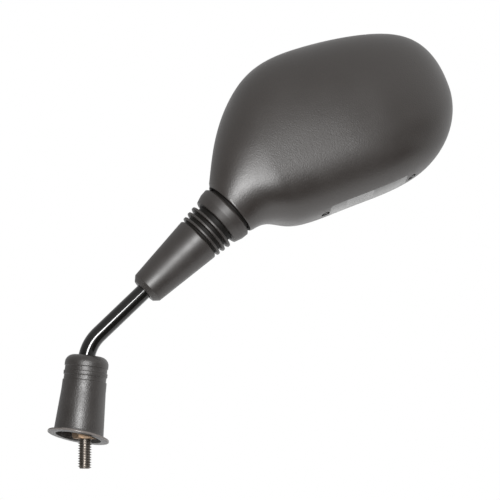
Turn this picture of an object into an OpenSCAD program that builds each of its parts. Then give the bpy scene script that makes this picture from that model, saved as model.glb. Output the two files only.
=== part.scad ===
/* [Stem] */
// Diameter of the bent steel rod
rod_d = 10; // [9:0.5:11]
// Height of the bend's corner above the lower face of the lock nut
bend_height = 55; // [53:0.5:60]
// Angle between the upper leg and the vertical
bend_angle = 45.5; // [40:0.5:52]
// Radius of the bend, at the middle of the rod
bend_radius = 25; // [20:1:27]
// Length of the upper leg, from the bend's corner to the centre of the ball
upper_leg = 130.5; // [125:0.5:145]
// Diameter of the threaded stud
stud_d = 8; // [7:0.5:8]
// Length of the stud below the lock nut
stud_length = 17.6; // [12:0.2:30]
// Distance across the flats of the lock nut
nut_flats = 13; // [12:0.5:14]
// Height of the lock nut
nut_height = 6.5; // [5:0.5:8]

/* [Base cover] */
// Height of the cover's top above the lower face of the lock nut
cover_top = 49.8; // [49:0.1:52]
// Diameter of the cover just below its grooves
cover_top_d = 26.6; // [25:0.2:28]
// Diameter of the cover at its foot
cover_foot_d = 30.2; // [29:0.2:34]
// Lean of the cover's own axis, to the side of the head
cover_lean = 6; // [4:0.5:7]
// Thickness of the cover's wall
cover_wall = 1.5; // [1.2:0.1:2]
// Diameter of the oblique flange at the foot
flange_d = 37.3; // [35:0.1:42]
// Thickness of the flange
flange_thickness = 1.3; // [1:0.1:2]

/* [Gaiter] */
// Length of the gaiter outside the neck
gaiter_length = 71; // [68:0.5:75]
// Diameter of the gaiter's lower end
gaiter_foot_d = 21.4; // [20:0.2:24]
// Diameter at the upper end of the gaiter's cone
cone_top_d = 29.4; // [28:0.2:31]
// Largest diameter of the gaiter's collar
collar_d = 37; // [35:0.2:39]
// Thickness of the rubber
rubber_wall = 2.2; // [1.8:0.1:2.6]
// Number of thin ridges of the bellows
ridge_count = 3; // [2:1:4]
// Distance from one ridge to the next
ridge_pitch = 3.9; // [3.4:0.1:4.2]
// Thickness of a ridge
ridge_thickness = 1.4; // [1:0.1:1.8]

/* [Ball joint] */
// Diameter of the ball
ball_d = 15; // [14:0.2:15.6]
// Thickness of the nylon liner
liner_wall = 1.2; // [1:0.1:1.4]
// Thickness of the steel cup round the liner
cup_wall = 1.2; // [1:0.1:1.4]
// Half angle of the mouths round the stem, seen from the ball's centre
mouth_angle = 50; // [49:0.5:54]
// Diameter of the clamp screws
screw_d = 3; // [2.5:0.1:3.5]
// Distance of the two side screws from the stem's axis
screw_side = 16.5; // [16:0.5:17.5]

/* [Housing] */
// Reach of the head from the neck's end to the tip, along its long side
head_length = 160; // [148:1:175]
// Height of the head's outline, across its long side
head_height = 107; // [100:1:118]
// Depth of the housing, from its front edge to the deepest place of its back
head_depth = 40; // [38:0.5:46]
// Diameter of the neck's end
neck_d = 36.8; // [36.2:0.2:40]
// Angle between the stem's upper leg and the head's long side
head_angle = 24.5; // [20:0.5:29]
// Thickness of the housing's wall
shell_wall = 2.5; // [2:0.1:2.8]
// Width of the lip round the front opening
lip_width = 3.4; // [3:0.1:4]
// Depth of the snap windows in the underside, from front to back
window_depth = 5; // [3:0.5:6]

/* [Glass] */
// Thickness of the mirror glass
glass_thickness = 2; // [1.5:0.1:2.5]
// Radius of the convex glass
glass_radius = 1200; // [1000:50:2000]
// Thickness of the foam pad
foam_thickness = 1.2; // [0.8:0.1:1.6]
// Width of the frame's edge round the glass
frame_edge = 2.2; // [1.8:0.1:3]

/* [Hidden] */
$fn = 64;

// Clearances between pieces that slide, pieces that are fitted, and pieces that only pass
running_gap = 0.05;
fit_gap = 0.3;
overcut = 1;

// Stem
rod_r = rod_d / 2;
stud_r = stud_d / 2;
shank_r = stud_r - 0.6;
countersink_r = stud_r + fit_gap;
stud_chamfer = 0.8;
shank_top = nut_height + 2;
bend_setback = bend_radius * tan(bend_angle / 2);
bend_thinning = 0.01;
bend_overlap = 0.3;
ball_r = ball_d / 2;
ball_seat = 0.83 * ball_r;
rod_neck_r = 0.53 * ball_r;
rod_neck_length = 6;
rod_taper = 1.6;
spigot_r = 3;
spigot_depth = ball_seat + 3;

// Base cover, in the frame of its own leaning axis
cover_foot = [-4.1, 0, 0.9];
flange_tilt = [-8, 10.8, 0];
cover_r = cover_top_d / 2;
cover_foot_r = cover_foot_d / 2;
groove_depth = 0.6;
groove_gap = 2.9;
land_height = 2.4;
groove_edge = 0.2;
cover_dome = 5;
cover_height = (cover_top - cover_foot.z) / cos(cover_lean) - 0.4;
cover_hole_r = rod_r + 0.95;
foot_overrun = 6;
grooved_height = 21;
cover_groove_low = cover_height - grooved_height;
groove_step = 5.8;
cover_inner_top = cover_height - cover_dome - 1;
foot_end_r = cover_r + (cover_foot_r - cover_r) * (cover_groove_low + foot_overrun) / cover_groove_low;

// Gaiter, measured along the leg from the ball's centre
neck_r = neck_d / 2;
neck_drop = 9.8;
neck_gap = 1.6;
gaiter_top = -neck_drop - neck_gap;
gaiter_foot = gaiter_top - gaiter_length;
gaiter_foot_r = gaiter_foot_d / 2;
cone_top_r = cone_top_d / 2;
foot_chamfer = 3;
grip_length = 14;
collar_height = 10.1;
collar_base_r = 16.6;
collar_r = collar_d / 2;
collar_rounding = 1.2;
groove_r = 12.8;
cone_end = gaiter_top - collar_height - ridge_count * ridge_pitch - 2.9;
spigot_height = neck_gap + 1.8;

// Ball joint, in the ball's frame
liner_in_r = ball_r + running_gap;
liner_out_r = liner_in_r + liner_wall;
cup_in_r = liner_out_r + running_gap;
cup_out_r = cup_in_r + cup_wall;
seat_r = cup_out_r + running_gap;
barrel_r = neck_r - shell_wall - 2.5 * fit_gap;
barrel_foot = -neck_drop + 2.4;
barrel_head = 2;
dome_r = seat_r + 3.4;
split_gap = 0.15;
plate_thickness = 4;
lug_r = 4.4;
screw_r = screw_d / 2;
screw_low = 12;
screw_high = 20;
plate_slope = 2;
screw_places = [[-screw_side, screw_low], [screw_side, screw_low], [0, screw_high]];
screw_head_r = 2 * screw_r;
screw_head_height = 0.75 * screw_d;
screw_bite = 8;
washer_r = screw_head_r + 0.3;
washer_thickness = 0.8;
washer_top = split_gap + plate_thickness + washer_thickness;
screw_tip = -split_gap - plate_thickness - screw_bite;
recess_depth = 0.4;
recess_width = 0.8;

// Housing outline in the head's frame: its origin is the centre of the neck's end, u runs along the
// head's long side and v to its top. The points steer a smooth curve from the upper corner of the
// neck round the tip to the lower corner.
// Each point is a share of the head's length and of its height.
outline_shares = [[0.047, 0.458], [0.241, 0.776], [0.481, 0.794], [0.778, 0.743], [0.984, 0.607],
    [1.022, 0.131], [0.803, -0.192], [0.475, -0.196], [0.325, -0.211], [0.212, -0.204], [0.125, -0.131]];
outline_points = [
    neck_r * [-sin(head_angle), cos(head_angle)],
    for (p = outline_shares) [p.x * head_length, p.y * head_height],
    neck_r * [sin(head_angle), -cos(head_angle)]
];
outline_last = len(outline_points) - 1;
tip_at = 5.6;
front_y = 18;
crest_share = 0.62;
upper_power = 2.3;
lower_power = 2.5;
tip_round = 75;
tip_power = 2.2;
neck_blend = 0.22;
neck_cut = 4;
shell_stations = 28;
shell_sides = 52;
rib_thickness = 1.6;
rib_top = -9;
rib_slope = 6;
rib_shares = [0.3, 0.44, 0.58, 0.71, 0.83];
post_r = 4;
glass_start = 1.35;
glass_end = 10.1;
closing_reach = 0.17;
glass_steps = 56;
window_width = 5;
window_shares = [0.35, 0.719];
window_reach = 12;
peg_gap = 0.7;
peg_lift = 0.4;
hook_root = 5;

// Smooth flat strip of the underside between the windows
strip_front = 15.5;
strip_back = 3;
strip_depth_front = 0.3;
strip_depth_back = 1.3;
strip_margin = 4;
strip_steps = 12;

// Front stack, from the glass back
plate_sheet = 1.6;
frame_front = front_y - 0.9;
glass_front = frame_front - 0.5;
glass_back = glass_front - glass_thickness;
glass_sag = glass_radius - sqrt(pow(glass_radius, 2) - pow(head_length / 2, 2));
foam_back = glass_back - glass_sag - foam_thickness;
plate_back = foam_back - plate_sheet;
glass_middle = [head_length * 0.49, head_height * 0.28];
glass_rings = 12;
window_y = plate_back - window_depth / 2;
frame_inset = lip_width + fit_gap;
glass_inset = frame_inset + frame_edge + fit_gap;
foam_inset = glass_inset + 3;

// Point of the outline's control polygon, continued straight past both ends
function steering(i) =
    i < 0 ? 2 * outline_points[0] - outline_points[1] :
    i > outline_last ? 2 * outline_points[outline_last] - outline_points[outline_last - 1] :
    outline_points[i];

// Point of the outline at u, from 0 at the neck's upper corner to outline_last at its lower one
function outline(u) =
    let (i = min(floor(u), outline_last - 1), t = u - i)
    (pow(1 - t, 3) * steering(i - 1) + (3 * pow(t, 3) - 6 * t * t + 4) * steering(i)
        + (-3 * pow(t, 3) + 3 * t * t + 3 * t + 1) * steering(i + 1) + pow(t, 3) * steering(i + 2)) / 6;

// Height of the outline's lower side at a distance along the head, found by halving
function underside(distance, a = tip_at, b = outline_last, steps = 16) =
    let (middle = (a + b) / 2)
    steps == 0 ? outline(middle).y :
    outline(middle).x > distance ? underside(distance, middle, b, steps - 1) :
    underside(distance, a, middle, steps - 1);

// Unit vector along the outline at u
function outline_way(u) =
    let (a = outline(max(u - 0.01, 0)), b = outline(min(u + 0.01, outline_last))) (b - a) / norm(b - a);

// Point of the outline moved inwards by a distance
function inset_point(u, inset) =
    let (way = outline_way(u)) outline(u) + inset * [way.y, -way.x];

function smooth(x) = let (c = min(max(x, 0), 1)) c * c * (3 - 2 * c);

// Depth of the back behind the front plane, from the distance to the tip along the head
function back_depth(from_tip) =
    let (share = min(max(from_tip / tip_round, 0), 1)) pow(1 - pow(1 - share, tip_power), 1 / tip_power);

// Place across a section, 0 at its upper end and 1 at its lower end, at an angle round it
function across(angle) =
    angle > 180 ? (1 - cos(angle)) / 2 :
    angle <= 90 ? crest_share * (1 - pow(cos(angle), 2 / upper_power)) :
    crest_share + (1 - crest_share) * pow(-cos(angle), 2 / lower_power);

// Share of the depth at an angle round a section
function deep(angle) =
    angle >= 180 ? 0 : pow(sin(angle), 2 / (angle <= 90 ? upper_power : lower_power));

// One section of the housing: a circle at the neck that turns into a flat-fronted section
function section(t, wall) =
    let (top = inset_point(tip_at * t, wall),
        low = inset_point(outline_last - (outline_last - tip_at) * t, wall),
        tip = inset_point(tip_at, wall),
        w = smooth(t / neck_blend),
        depth = (head_depth - 2 * wall) * back_depth((tip - (top + low) / 2).x))
    [for (k = [0 : shell_sides - 1])
        let (angle = 360 * k / shell_sides,
            place = (1 - w) * (1 - cos(angle)) / 2 + w * across(angle),
            y = (1 - w) * -(neck_r - wall) * sin(angle) + w * (front_y - wall - depth * deep(angle)),
            p = top + place * (low - top))
        in_leg_frame(p, y)];

// Point of the head's frame at depth y, in the frame of the ball and the upper leg
function in_leg_frame(p, y) =
    [p.x * sin(head_angle) - p.y * cos(head_angle), y,
        p.x * cos(head_angle) + p.y * sin(head_angle) - neck_drop];

function cubic(a, b, c, d, t) =
    pow(1 - t, 3) * a + 3 * t * pow(1 - t, 2) * b + 3 * t * t * (1 - t) * c + pow(t, 3) * d;

// Closed outline of the glass opening, moved inwards: the housing's outline, closed beside the neck
function opening_outline(inset) =
    let (a = inset_point(glass_end, inset), b = inset_point(glass_start, inset),
        a_way = outline_way(glass_end), b_way = outline_way(glass_start), reach = closing_reach * norm(b - a))
    [for (k = [0 : glass_steps]) inset_point(glass_start + (glass_end - glass_start) * k / glass_steps, inset),
        for (k = [1 : 9]) cubic(a, a + reach * a_way, b - reach * b_way, b, k / 10)];

// Puts its children at the ball's centre, with Z along the upper leg
module at_ball() {
    translate([0, 0, bend_height]) rotate([0, bend_angle, 0]) translate([0, 0, upper_leg]) children();
}

// Puts flat shapes of the head's frame in the ball's frame, standing from y_low to y_high
module stand_in_head(y_low, y_high) {
    translate([0, y_high, -neck_drop]) rotate([90, 0, 0])
        linear_extrude(height = y_high - y_low) rotate(90 - head_angle) children();
}

// Puts its children at a place of the head, with their Z towards the front
module stand_in_head_at(place) {
    translate([0, 0, -neck_drop]) rotate([90, 0, 0]) rotate(90 - head_angle)
        translate([place.x, place.y, 0]) mirror([0, 0, 1]) children();
}

// Closed solid of the housing with its surface moved inwards by a wall; its neck starts lower by a cut
module housing_form(wall, cut) {
    rings = [
        if (cut > 0) [for (p = section(0, wall)) p - [0, 0, cut]],
        for (k = [0 : shell_stations - 1]) section(k / shell_stations, wall)
    ];
    count = len(rings);
    tip = in_leg_frame(inset_point(tip_at, wall), front_y - wall);
    points = [for (ring = rings) each ring, tip];
    n = shell_sides;
    sides = [for (r = [0 : count - 2], k = [0 : n - 1])
        let (a = r * n + k, b = r * n + (k + 1) % n) each [[b, a, b + n], [b + n, a, a + n]]];
    cap = [[for (k = [0 : n - 1]) k]];
    nose = [for (k = [0 : n - 1]) [(count - 1) * n + (k + 1) % n, (count - 1) * n + k, count * n]];
    polyhedron(points, concat(sides, cap, nose));
}

module stem_rod() color([0.05, 0.05, 0.06]) {
    lower_leg = bend_height - bend_setback;
    neck_start = upper_leg - ball_seat - rod_neck_length;
    // Lower leg: the stud with its end chamfer, the thinner shank inside the nut, and the plain rod
    rotate_extrude() polygon([[0, -stud_length], [stud_r - stud_chamfer, -stud_length],
        [stud_r, stud_chamfer - stud_length], [stud_r, 0], [shank_r, 0], [shank_r, shank_top],
        [rod_r, shank_top + rod_taper], [rod_r, lower_leg + bend_overlap], [0, lower_leg + bend_overlap]]);
    // Bend
    translate([bend_radius, 0, lower_leg]) rotate([90, 0, 180])
        rotate_extrude(angle = bend_angle) translate([bend_radius, 0]) circle(r = rod_r - bend_thinning);
    // Upper leg, its neck and the spigot in the ball
    translate([0, 0, bend_height]) rotate([0, bend_angle, 0]) rotate_extrude() polygon([
        [0, bend_setback - bend_overlap], [rod_r, bend_setback - bend_overlap], [rod_r, neck_start - rod_taper],
        [rod_neck_r, neck_start], [rod_neck_r, upper_leg - ball_seat], [spigot_r, upper_leg - ball_seat],
        [spigot_r, upper_leg - ball_seat + spigot_depth - fit_gap],
        [0, upper_leg - ball_seat + spigot_depth - fit_gap]]);
}

module lock_nut() color([0.72, 0.6, 0.3]) {
    corner_r = nut_flats / 2 / cos(30);
    chamfer = corner_r - nut_flats / 2;
    difference() {
        intersection() {
            cylinder(h = nut_height, r = corner_r, $fn = 6);
            rotate_extrude() polygon([[0, 0], [nut_flats / 2, 0], [corner_r, chamfer],
                [corner_r, nut_height - chamfer], [nut_flats / 2, nut_height], [0, nut_height]]);
        }
        translate([0, 0, -overcut]) cylinder(h = nut_height + 2 * overcut, r = shank_r + running_gap);
        for (z = [0, nut_height]) translate([0, 0, z]) rotate([z > 0 ? 180 : 0, 0, 0])
            translate([0, 0, -overcut]) cylinder(h = overcut + countersink_r - shank_r,
                r1 = countersink_r + overcut, r2 = shank_r);
    }
}

// Frame of the base cover's leaning axis, from the centre of its foot
module cover_frame() {
    translate(cover_foot) rotate([0, cover_lean, 0]) children();
}

// Everything above the cover's oblique foot plane
module above_foot() {
    translate(cover_foot) rotate(flange_tilt) translate([0, 0, cover_height])
        cube([3 * flange_d, 3 * flange_d, 2 * cover_height], center = true);
}

// One shallow groove round the cover, from the height of its lower edge
function groove(z) = [[cover_r - groove_edge / 2, z], [cover_r - groove_depth, z + groove_edge],
    [cover_r - groove_depth, z + groove_gap], [cover_r - groove_edge, z + groove_gap + groove_edge]];

module base_cover() color([0.16, 0.155, 0.15]) {
    difference() {
        union() {
            intersection() {
                cover_frame() rotate_extrude() polygon([
                    [0, -foot_overrun], [foot_end_r, -foot_overrun], [cover_r, cover_groove_low],
                    each groove(cover_groove_low + groove_step),
                    each groove(cover_groove_low + groove_step + groove_gap + land_height),
                    for (a = [0 : 15 : 90])
                        [cover_r - groove_edge - cover_dome * (1 - cos(a)), cover_height - cover_dome * (1 - sin(a))],
                    [0, cover_height]]);
                above_foot();
            }
            translate(cover_foot) rotate(flange_tilt)
                cylinder(h = flange_thickness, r1 = flange_d / 2, r2 = flange_d / 2 - 0.3);
        }
        cover_frame() rotate_extrude() polygon([
            [0, -2 * foot_overrun], [foot_end_r - cover_wall, -2 * foot_overrun],
            [cover_r - cover_wall - 0.9, cover_groove_low], [cover_r - cover_wall - 0.9, cover_inner_top - 4],
            [cover_r - cover_wall - 4, cover_inner_top], [0, cover_inner_top]]);
        cylinder(h = 2 * cover_top, r = cover_hole_r);
    }
}

module stem_gaiter() color([0.13, 0.125, 0.12]) {
    collar_low = gaiter_top - collar_height;
    in_r = groove_r - rubber_wall;
    collar_in_r = neck_r - shell_wall - fit_gap - rubber_wall - 0.5;
    ridges = [for (k = [0 : ridge_count - 1])
        let (z = cone_end + 2.4 + k * ridge_pitch, r = cone_top_r + 0.5 + 0.45 * k)
        each [[groove_r, z - ridge_thickness / 2 - 0.4], [r, z - ridge_thickness / 2],
            [r, z + ridge_thickness / 2], [groove_r, z + ridge_thickness / 2 + 0.4]]];
    at_ball() rotate_extrude() polygon([
        [rod_r + running_gap, gaiter_foot], [gaiter_foot_r - foot_chamfer + 0.3, gaiter_foot],
        [gaiter_foot_r, gaiter_foot + foot_chamfer],
        [cone_top_r, cone_end - 0.8], [cone_top_r - 0.8, cone_end],
        each ridges,
        [groove_r, collar_low - 0.4], [collar_base_r, collar_low],
        [collar_r - 0.4, gaiter_top - 0.55 * collar_height],
        [collar_r, gaiter_top - collar_rounding], [collar_r - collar_rounding, gaiter_top],
        [collar_in_r + rubber_wall, gaiter_top], [collar_in_r + rubber_wall, gaiter_top + spigot_height],
        [collar_in_r, gaiter_top + spigot_height], [collar_in_r, gaiter_top - 3],
        [in_r, collar_low], [in_r, cone_end], [rod_r + 3, gaiter_foot + grip_length + 4],
        [rod_r + running_gap, gaiter_foot + grip_length]]);
}

module pivot_ball() color([0.6, 0.6, 0.62]) at_ball() difference() {
    sphere(r = ball_r);
    translate([0, 0, -ball_seat - ball_r]) cube([3 * ball_r, 3 * ball_r, 2 * ball_r], center = true);
    translate([0, 0, -ball_r - overcut]) cylinder(h = ball_r + overcut + spigot_depth - ball_seat,
        r = spigot_r + running_gap / 2);
}

// Cone that opens a spherical shell towards the stem
module mouth(reach) {
    rotate([180, 0, 0]) cylinder(h = reach, r1 = 0, r2 = reach * tan(mouth_angle));
}

// Spherical shell round the ball with its mouth
module ball_shell(outer, inner) {
    at_ball() difference() {
        sphere(r = outer);
        sphere(r = inner);
        mouth(2 * outer);
    }
}

module ball_liner() color([0.9, 0.88, 0.8]) ball_shell(liner_out_r, liner_in_r);

module socket_cup() color([0.66, 0.66, 0.68]) ball_shell(cup_out_r, cup_in_r);

// One half of the clamp: side is -1 for the back half and 1 for the front half
module clamp_half(side) {
    at_ball() difference() {
        union() {
            translate([0, 0, barrel_foot]) cylinder(h = barrel_head - barrel_foot, r = barrel_r);
            sphere(r = dome_r);
            // Flat plate with a lug round each screw
            translate([0, side * (split_gap + plate_thickness / 2), 0]) rotate([90, 0, 0])
                linear_extrude(height = plate_thickness, center = true) {
                    polygon([[-screw_side, screw_low - lug_r], [screw_side, screw_low - lug_r],
                        [screw_side, screw_low + plate_slope], [lug_r, screw_high + plate_slope],
                        [-lug_r, screw_high + plate_slope], [-screw_side, screw_low + plate_slope]]);
                    for (p = screw_places) translate(p) circle(r = lug_r);
                }
        }
        sphere(r = seat_r);
        mouth(2 * barrel_r);
        // The other half's side of the split
        translate([0, side * (split_gap - 4 * barrel_r), 0]) cube(8 * barrel_r, center = true);
        // Below the barrel's foot, where the ball's dome would stand out
        translate([0, 0, barrel_foot - 2 * barrel_r]) cube(4 * barrel_r, center = true);
        for (p = screw_places) translate([p.x, 0, p.y]) rotate([90, 0, 0])
            cylinder(h = 4 * barrel_r, r = screw_r + running_gap, center = true);
    }
}

module socket_base() color([0.2, 0.2, 0.21]) clamp_half(-1);

module clamp_cap() color([0.24, 0.24, 0.25]) clamp_half(1);

// Pan-head screw with a cross recess, driven from the glass side
module clamp_screw(place) {
    at_ball() translate([place.x, washer_top, place.y]) rotate([-90, 0, 0]) difference() {
        union() {
            cylinder(h = screw_head_height * 0.6, r = screw_head_r);
            translate([0, 0, screw_head_height * 0.6])
                cylinder(h = screw_head_height * 0.4, r1 = screw_head_r, r2 = screw_head_r * 0.7);
            translate([0, 0, screw_tip - washer_top]) cylinder(h = washer_top - screw_tip, r = screw_r);
        }
        for (a = [0, 90]) rotate(a) translate([0, 0, screw_head_height])
            cube([screw_head_r * 1.1, recess_width, 2 * recess_depth + 0.4], center = true);
    }
}

module spring_washer(place) {
    at_ball() translate([place.x, washer_top - washer_thickness, place.y]) rotate([-90, 0, 0]) difference() {
        cylinder(h = washer_thickness, r = washer_r);
        translate([0, 0, -overcut])
            cylinder(h = washer_thickness + 2 * overcut, r = screw_r + running_gap + 0.1);
    }
}

// Stiffening rib across the inside of the back, at a distance along the head
module shell_rib(u) {
    hull() {
        stand_in_head(-head_depth, rib_top - rib_slope) translate([u - rib_thickness / 2, -head_height / 2])
            square([rib_thickness, 2 * head_height]);
        stand_in_head(rib_top - rib_slope, rib_top) translate([u - rib_thickness / 3, -head_height / 2])
            square([2 * rib_thickness / 3, 2 * head_height]);
    }
}

// Post for one clamp screw, wider at its root in the back wall
module screw_post(place) {
    hull() {
        translate([place.x, -split_gap - plate_thickness, place.y]) rotate([90, 0, 0])
            cylinder(h = overcut, r = post_r, $fn = 32);
        translate([place.x, -head_depth, place.y]) rotate([90, 0, 0]) cylinder(h = 1, r = post_r + 1.4, $fn = 32);
    }
}

// Slot through the underside for one hook of the glass frame, rounded at its back end
module snap_window(u) {
    r = window_width / 2;
    stand = window_depth / 2;
    translate(in_leg_frame([u, underside(u)], window_y)) rotate([0, head_angle - 90, 0]) hull() {
        translate([0, stand, 0]) cube([window_width, 1, window_reach], center = true);
        translate([0, r / 2 - stand, 0]) cylinder(h = window_reach, r = r, center = true, $fn = 24);
    }
}

// Thin wedge cut from the underside between the windows, which leaves a smooth flat strip
module strip_cutter() {
    start = window_shares[0] * head_length + strip_margin;
    reach = (window_shares[1] - window_shares[0]) * head_length - 2 * strip_margin;
    corners = [for (k = [0 : strip_steps])
        let (u = start + reach * k / strip_steps, low = underside(u))
        each [in_leg_frame([u, low + strip_depth_front], strip_front),
            in_leg_frame([u, low + strip_depth_back], strip_back),
            in_leg_frame([u, low - shell_wall], strip_back), in_leg_frame([u, low - shell_wall], strip_front)]];
    last = 4 * strip_steps;
    polyhedron(corners, [[0, 1, 2, 3], [last + 3, last + 2, last + 1, last],
        for (k = [0 : strip_steps - 1], c = [0 : 3])
            let (a = 4 * k + c, b = 4 * k + (c + 1) % 4) [b, a, a + 4, b + 4]]);
}

module housing_shell() color([0.17, 0.165, 0.16]) at_ball() {
    difference() {
        housing_form(0, 0);
        housing_form(shell_wall, neck_cut);
        stand_in_head(front_y - 2 * shell_wall, front_y + overcut) polygon(opening_outline(lip_width));
        for (share = window_shares) snap_window(share * head_length);
        strip_cutter();
    }
    difference() {
        intersection() {
            housing_form(shell_wall / 2, 0);
            union() {
                for (share = rib_shares) shell_rib(share * head_length);
                for (place = screw_places) screw_post(place);
            }
        }
        for (p = screw_places) translate([p.x, 0, p.y]) rotate([90, 0, 0])
            cylinder(h = -screw_tip + 2, r = screw_r + 2 * running_gap, $fn = 32);
    }
}

module glass_frame() color([0.1, 0.1, 0.1]) at_ball() {
    stand_in_head(plate_back, foam_back) polygon(opening_outline(frame_inset));
    stand_in_head(foam_back, frame_front) difference() {
        polygon(opening_outline(frame_inset));
        polygon(opening_outline(frame_inset + frame_edge));
    }
    // Hooks: a leg on the back of the plate and a peg that fills most of the snap window
    for (share = window_shares) {
        u = share * head_length;
        low = underside(u);
        stand_in_head(window_y, plate_back + plate_sheet / 2)
            translate([u - window_width / 2 + peg_gap, low + shell_wall + 4 * fit_gap])
                square([window_width - 2 * peg_gap, hook_root]);
        hull() {
            stand_in_head(window_y, plate_back) translate([u - window_width / 2 + peg_gap, low + peg_lift + 0.5])
                square([window_width - 2 * peg_gap, shell_wall + 1]);
            stand_in_head(window_y - window_depth / 2 + peg_gap, window_y)
                translate([u - window_width / 4, low + peg_lift + 1]) square([window_width / 2, shell_wall + 0.5]);
        }
    }
}

// The convex front of the glass moved back by a depth, as everything behind it
module behind_glass(depth) {
    reach = head_length;
    radius = glass_radius - depth;
    stand_in_head_at(glass_middle) rotate_extrude($fn = 96) polygon([[0, 0], [reach, 0],
        for (k = [glass_rings : -1 : 0]) let (r = reach * k / glass_rings)
            [r, glass_front - glass_radius + sqrt(radius * radius - r * r)]]);
}

module foam_pad() color([0.3, 0.3, 0.3]) at_ball() intersection() {
    stand_in_head(foam_back, glass_front) polygon(opening_outline(foam_inset));
    behind_glass(glass_thickness);
}

module mirror_glass() color([0.8, 0.85, 0.88]) at_ball() difference() {
    intersection() {
        stand_in_head(foam_back, glass_front + overcut) polygon(opening_outline(glass_inset));
        behind_glass(0);
    }
    behind_glass(glass_thickness);
}

stem_rod();
lock_nut();
base_cover();
stem_gaiter();
pivot_ball();
ball_liner();
socket_cup();
socket_base();
clamp_cap();
color([0.75, 0.72, 0.6]) clamp_screw(screw_places[0]);  // clamp_screw_1
color([0.75, 0.72, 0.6]) clamp_screw(screw_places[1]);  // clamp_screw_2
color([0.75, 0.72, 0.6]) clamp_screw(screw_places[2]);  // clamp_screw_3
color([0.7, 0.7, 0.72]) spring_washer(screw_places[0]);  // spring_washer_1
color([0.7, 0.7, 0.72]) spring_washer(screw_places[1]);  // spring_washer_2
color([0.7, 0.7, 0.72]) spring_washer(screw_places[2]);  // spring_washer_3
housing_shell();
glass_frame();
foam_pad();
mirror_glass();
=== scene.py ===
"""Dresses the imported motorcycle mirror: grained housing, rubber gaiter and cover, black stem, convex glass."""

import logging
import math
from dataclasses import dataclass, field
from enum import Enum
from typing import Callable, Sequence

import bmesh
import bpy
import numpy as np
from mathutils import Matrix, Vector


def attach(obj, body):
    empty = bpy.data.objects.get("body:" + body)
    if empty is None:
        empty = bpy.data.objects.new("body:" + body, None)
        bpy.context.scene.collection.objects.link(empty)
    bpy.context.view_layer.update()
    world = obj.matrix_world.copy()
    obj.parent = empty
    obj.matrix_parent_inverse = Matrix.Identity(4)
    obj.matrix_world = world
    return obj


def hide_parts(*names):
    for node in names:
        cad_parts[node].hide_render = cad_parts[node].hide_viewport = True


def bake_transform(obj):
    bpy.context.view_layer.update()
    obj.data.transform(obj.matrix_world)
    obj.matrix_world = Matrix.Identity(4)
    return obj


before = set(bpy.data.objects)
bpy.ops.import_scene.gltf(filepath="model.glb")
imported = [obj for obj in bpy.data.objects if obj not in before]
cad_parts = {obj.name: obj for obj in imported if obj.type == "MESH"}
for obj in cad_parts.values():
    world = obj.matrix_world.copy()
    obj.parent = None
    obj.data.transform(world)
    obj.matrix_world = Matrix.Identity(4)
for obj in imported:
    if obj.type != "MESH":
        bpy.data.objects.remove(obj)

LOG = logging.getLogger("mirror")
MM = 0.001
# Points that are nearer to each other than this, in metres, become one, in a new mesh and after a cut.
SAME_PLACE = 1e-7
SAME_CUT_PLACE = 2e-6
# Half of a corner's angle, in degrees, above which it counts as straight and isn't rounded.
STRAIGHT_HALF_ANGLE = 88.0
# Points round the glass opening.
GLASS_STEPS = 300
# Range of the noise over which a finish's colour and its roughness drift.
COLOUR_DRIFT = (0.36, 0.66)
GLOSS_DRIFT = (0.3, 0.7)

Colour = tuple[float, float, float]


# Frames of the object


@dataclass(frozen=True)
class Leg:
    """The upper leg of the stem: its Z runs along the leg and its origin is the centre of the ball."""

    bend_height: float = 55.0
    bend_angle: float = 45.5
    upper_leg: float = 130.5

    def to_row(self, points: np.ndarray) -> np.ndarray:
        """Moves points from the leg's frame to the frame of the whole part.

        Args:
            points: array of n by 3 places, in millimetres.

        Returns:
            Array of n by 3 places, in millimetres.
        """
        points = np.asarray(points, float).reshape(-1, 3)
        angle = math.radians(self.bend_angle)
        along = points[:, 2] + self.upper_leg
        x = points[:, 0] * math.cos(angle) + along * math.sin(angle)
        z = -points[:, 0] * math.sin(angle) + along * math.cos(angle) + self.bend_height
        return np.stack([x, points[:, 1], z], axis=1)

    def height_of(self, point: Sequence[float]) -> float:
        """Height of one place of the whole part above the ball's centre, along the leg, in millimetres."""
        angle = math.radians(self.bend_angle)
        return point[0] * math.sin(angle) + (point[2] - self.bend_height) * math.cos(angle) - self.upper_leg


@dataclass(frozen=True)
class LeaningAxis:
    """A frame that stands at a place and is turned about X and then about Y, as the base cover's."""

    place: tuple[float, float, float]
    turn: tuple[float, float]

    def to_row(self, points: np.ndarray) -> np.ndarray:
        """Moves points from this frame to the frame of the whole part.

        Args:
            points: array of n by 3 places, in millimetres.

        Returns:
            Array of n by 3 places, in millimetres.
        """
        points = np.asarray(points, float).reshape(-1, 3)
        about_x, about_y = (math.radians(a) for a in self.turn)
        y = points[:, 1] * math.cos(about_x) - points[:, 2] * math.sin(about_x)
        z = points[:, 1] * math.sin(about_x) + points[:, 2] * math.cos(about_x)
        x = points[:, 0] * math.cos(about_y) + z * math.sin(about_y)
        z = -points[:, 0] * math.sin(about_y) + z * math.cos(about_y)
        return np.stack([x, y, z], axis=1) + np.array(self.place)


# Meshes


def smooth_step(x: np.ndarray | float) -> np.ndarray | float:
    """Eases from 0 to 1 between 0 and 1, and stays level outside."""
    c = np.clip(x, 0.0, 1.0)
    return c * c * (3 - 2 * c)


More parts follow.
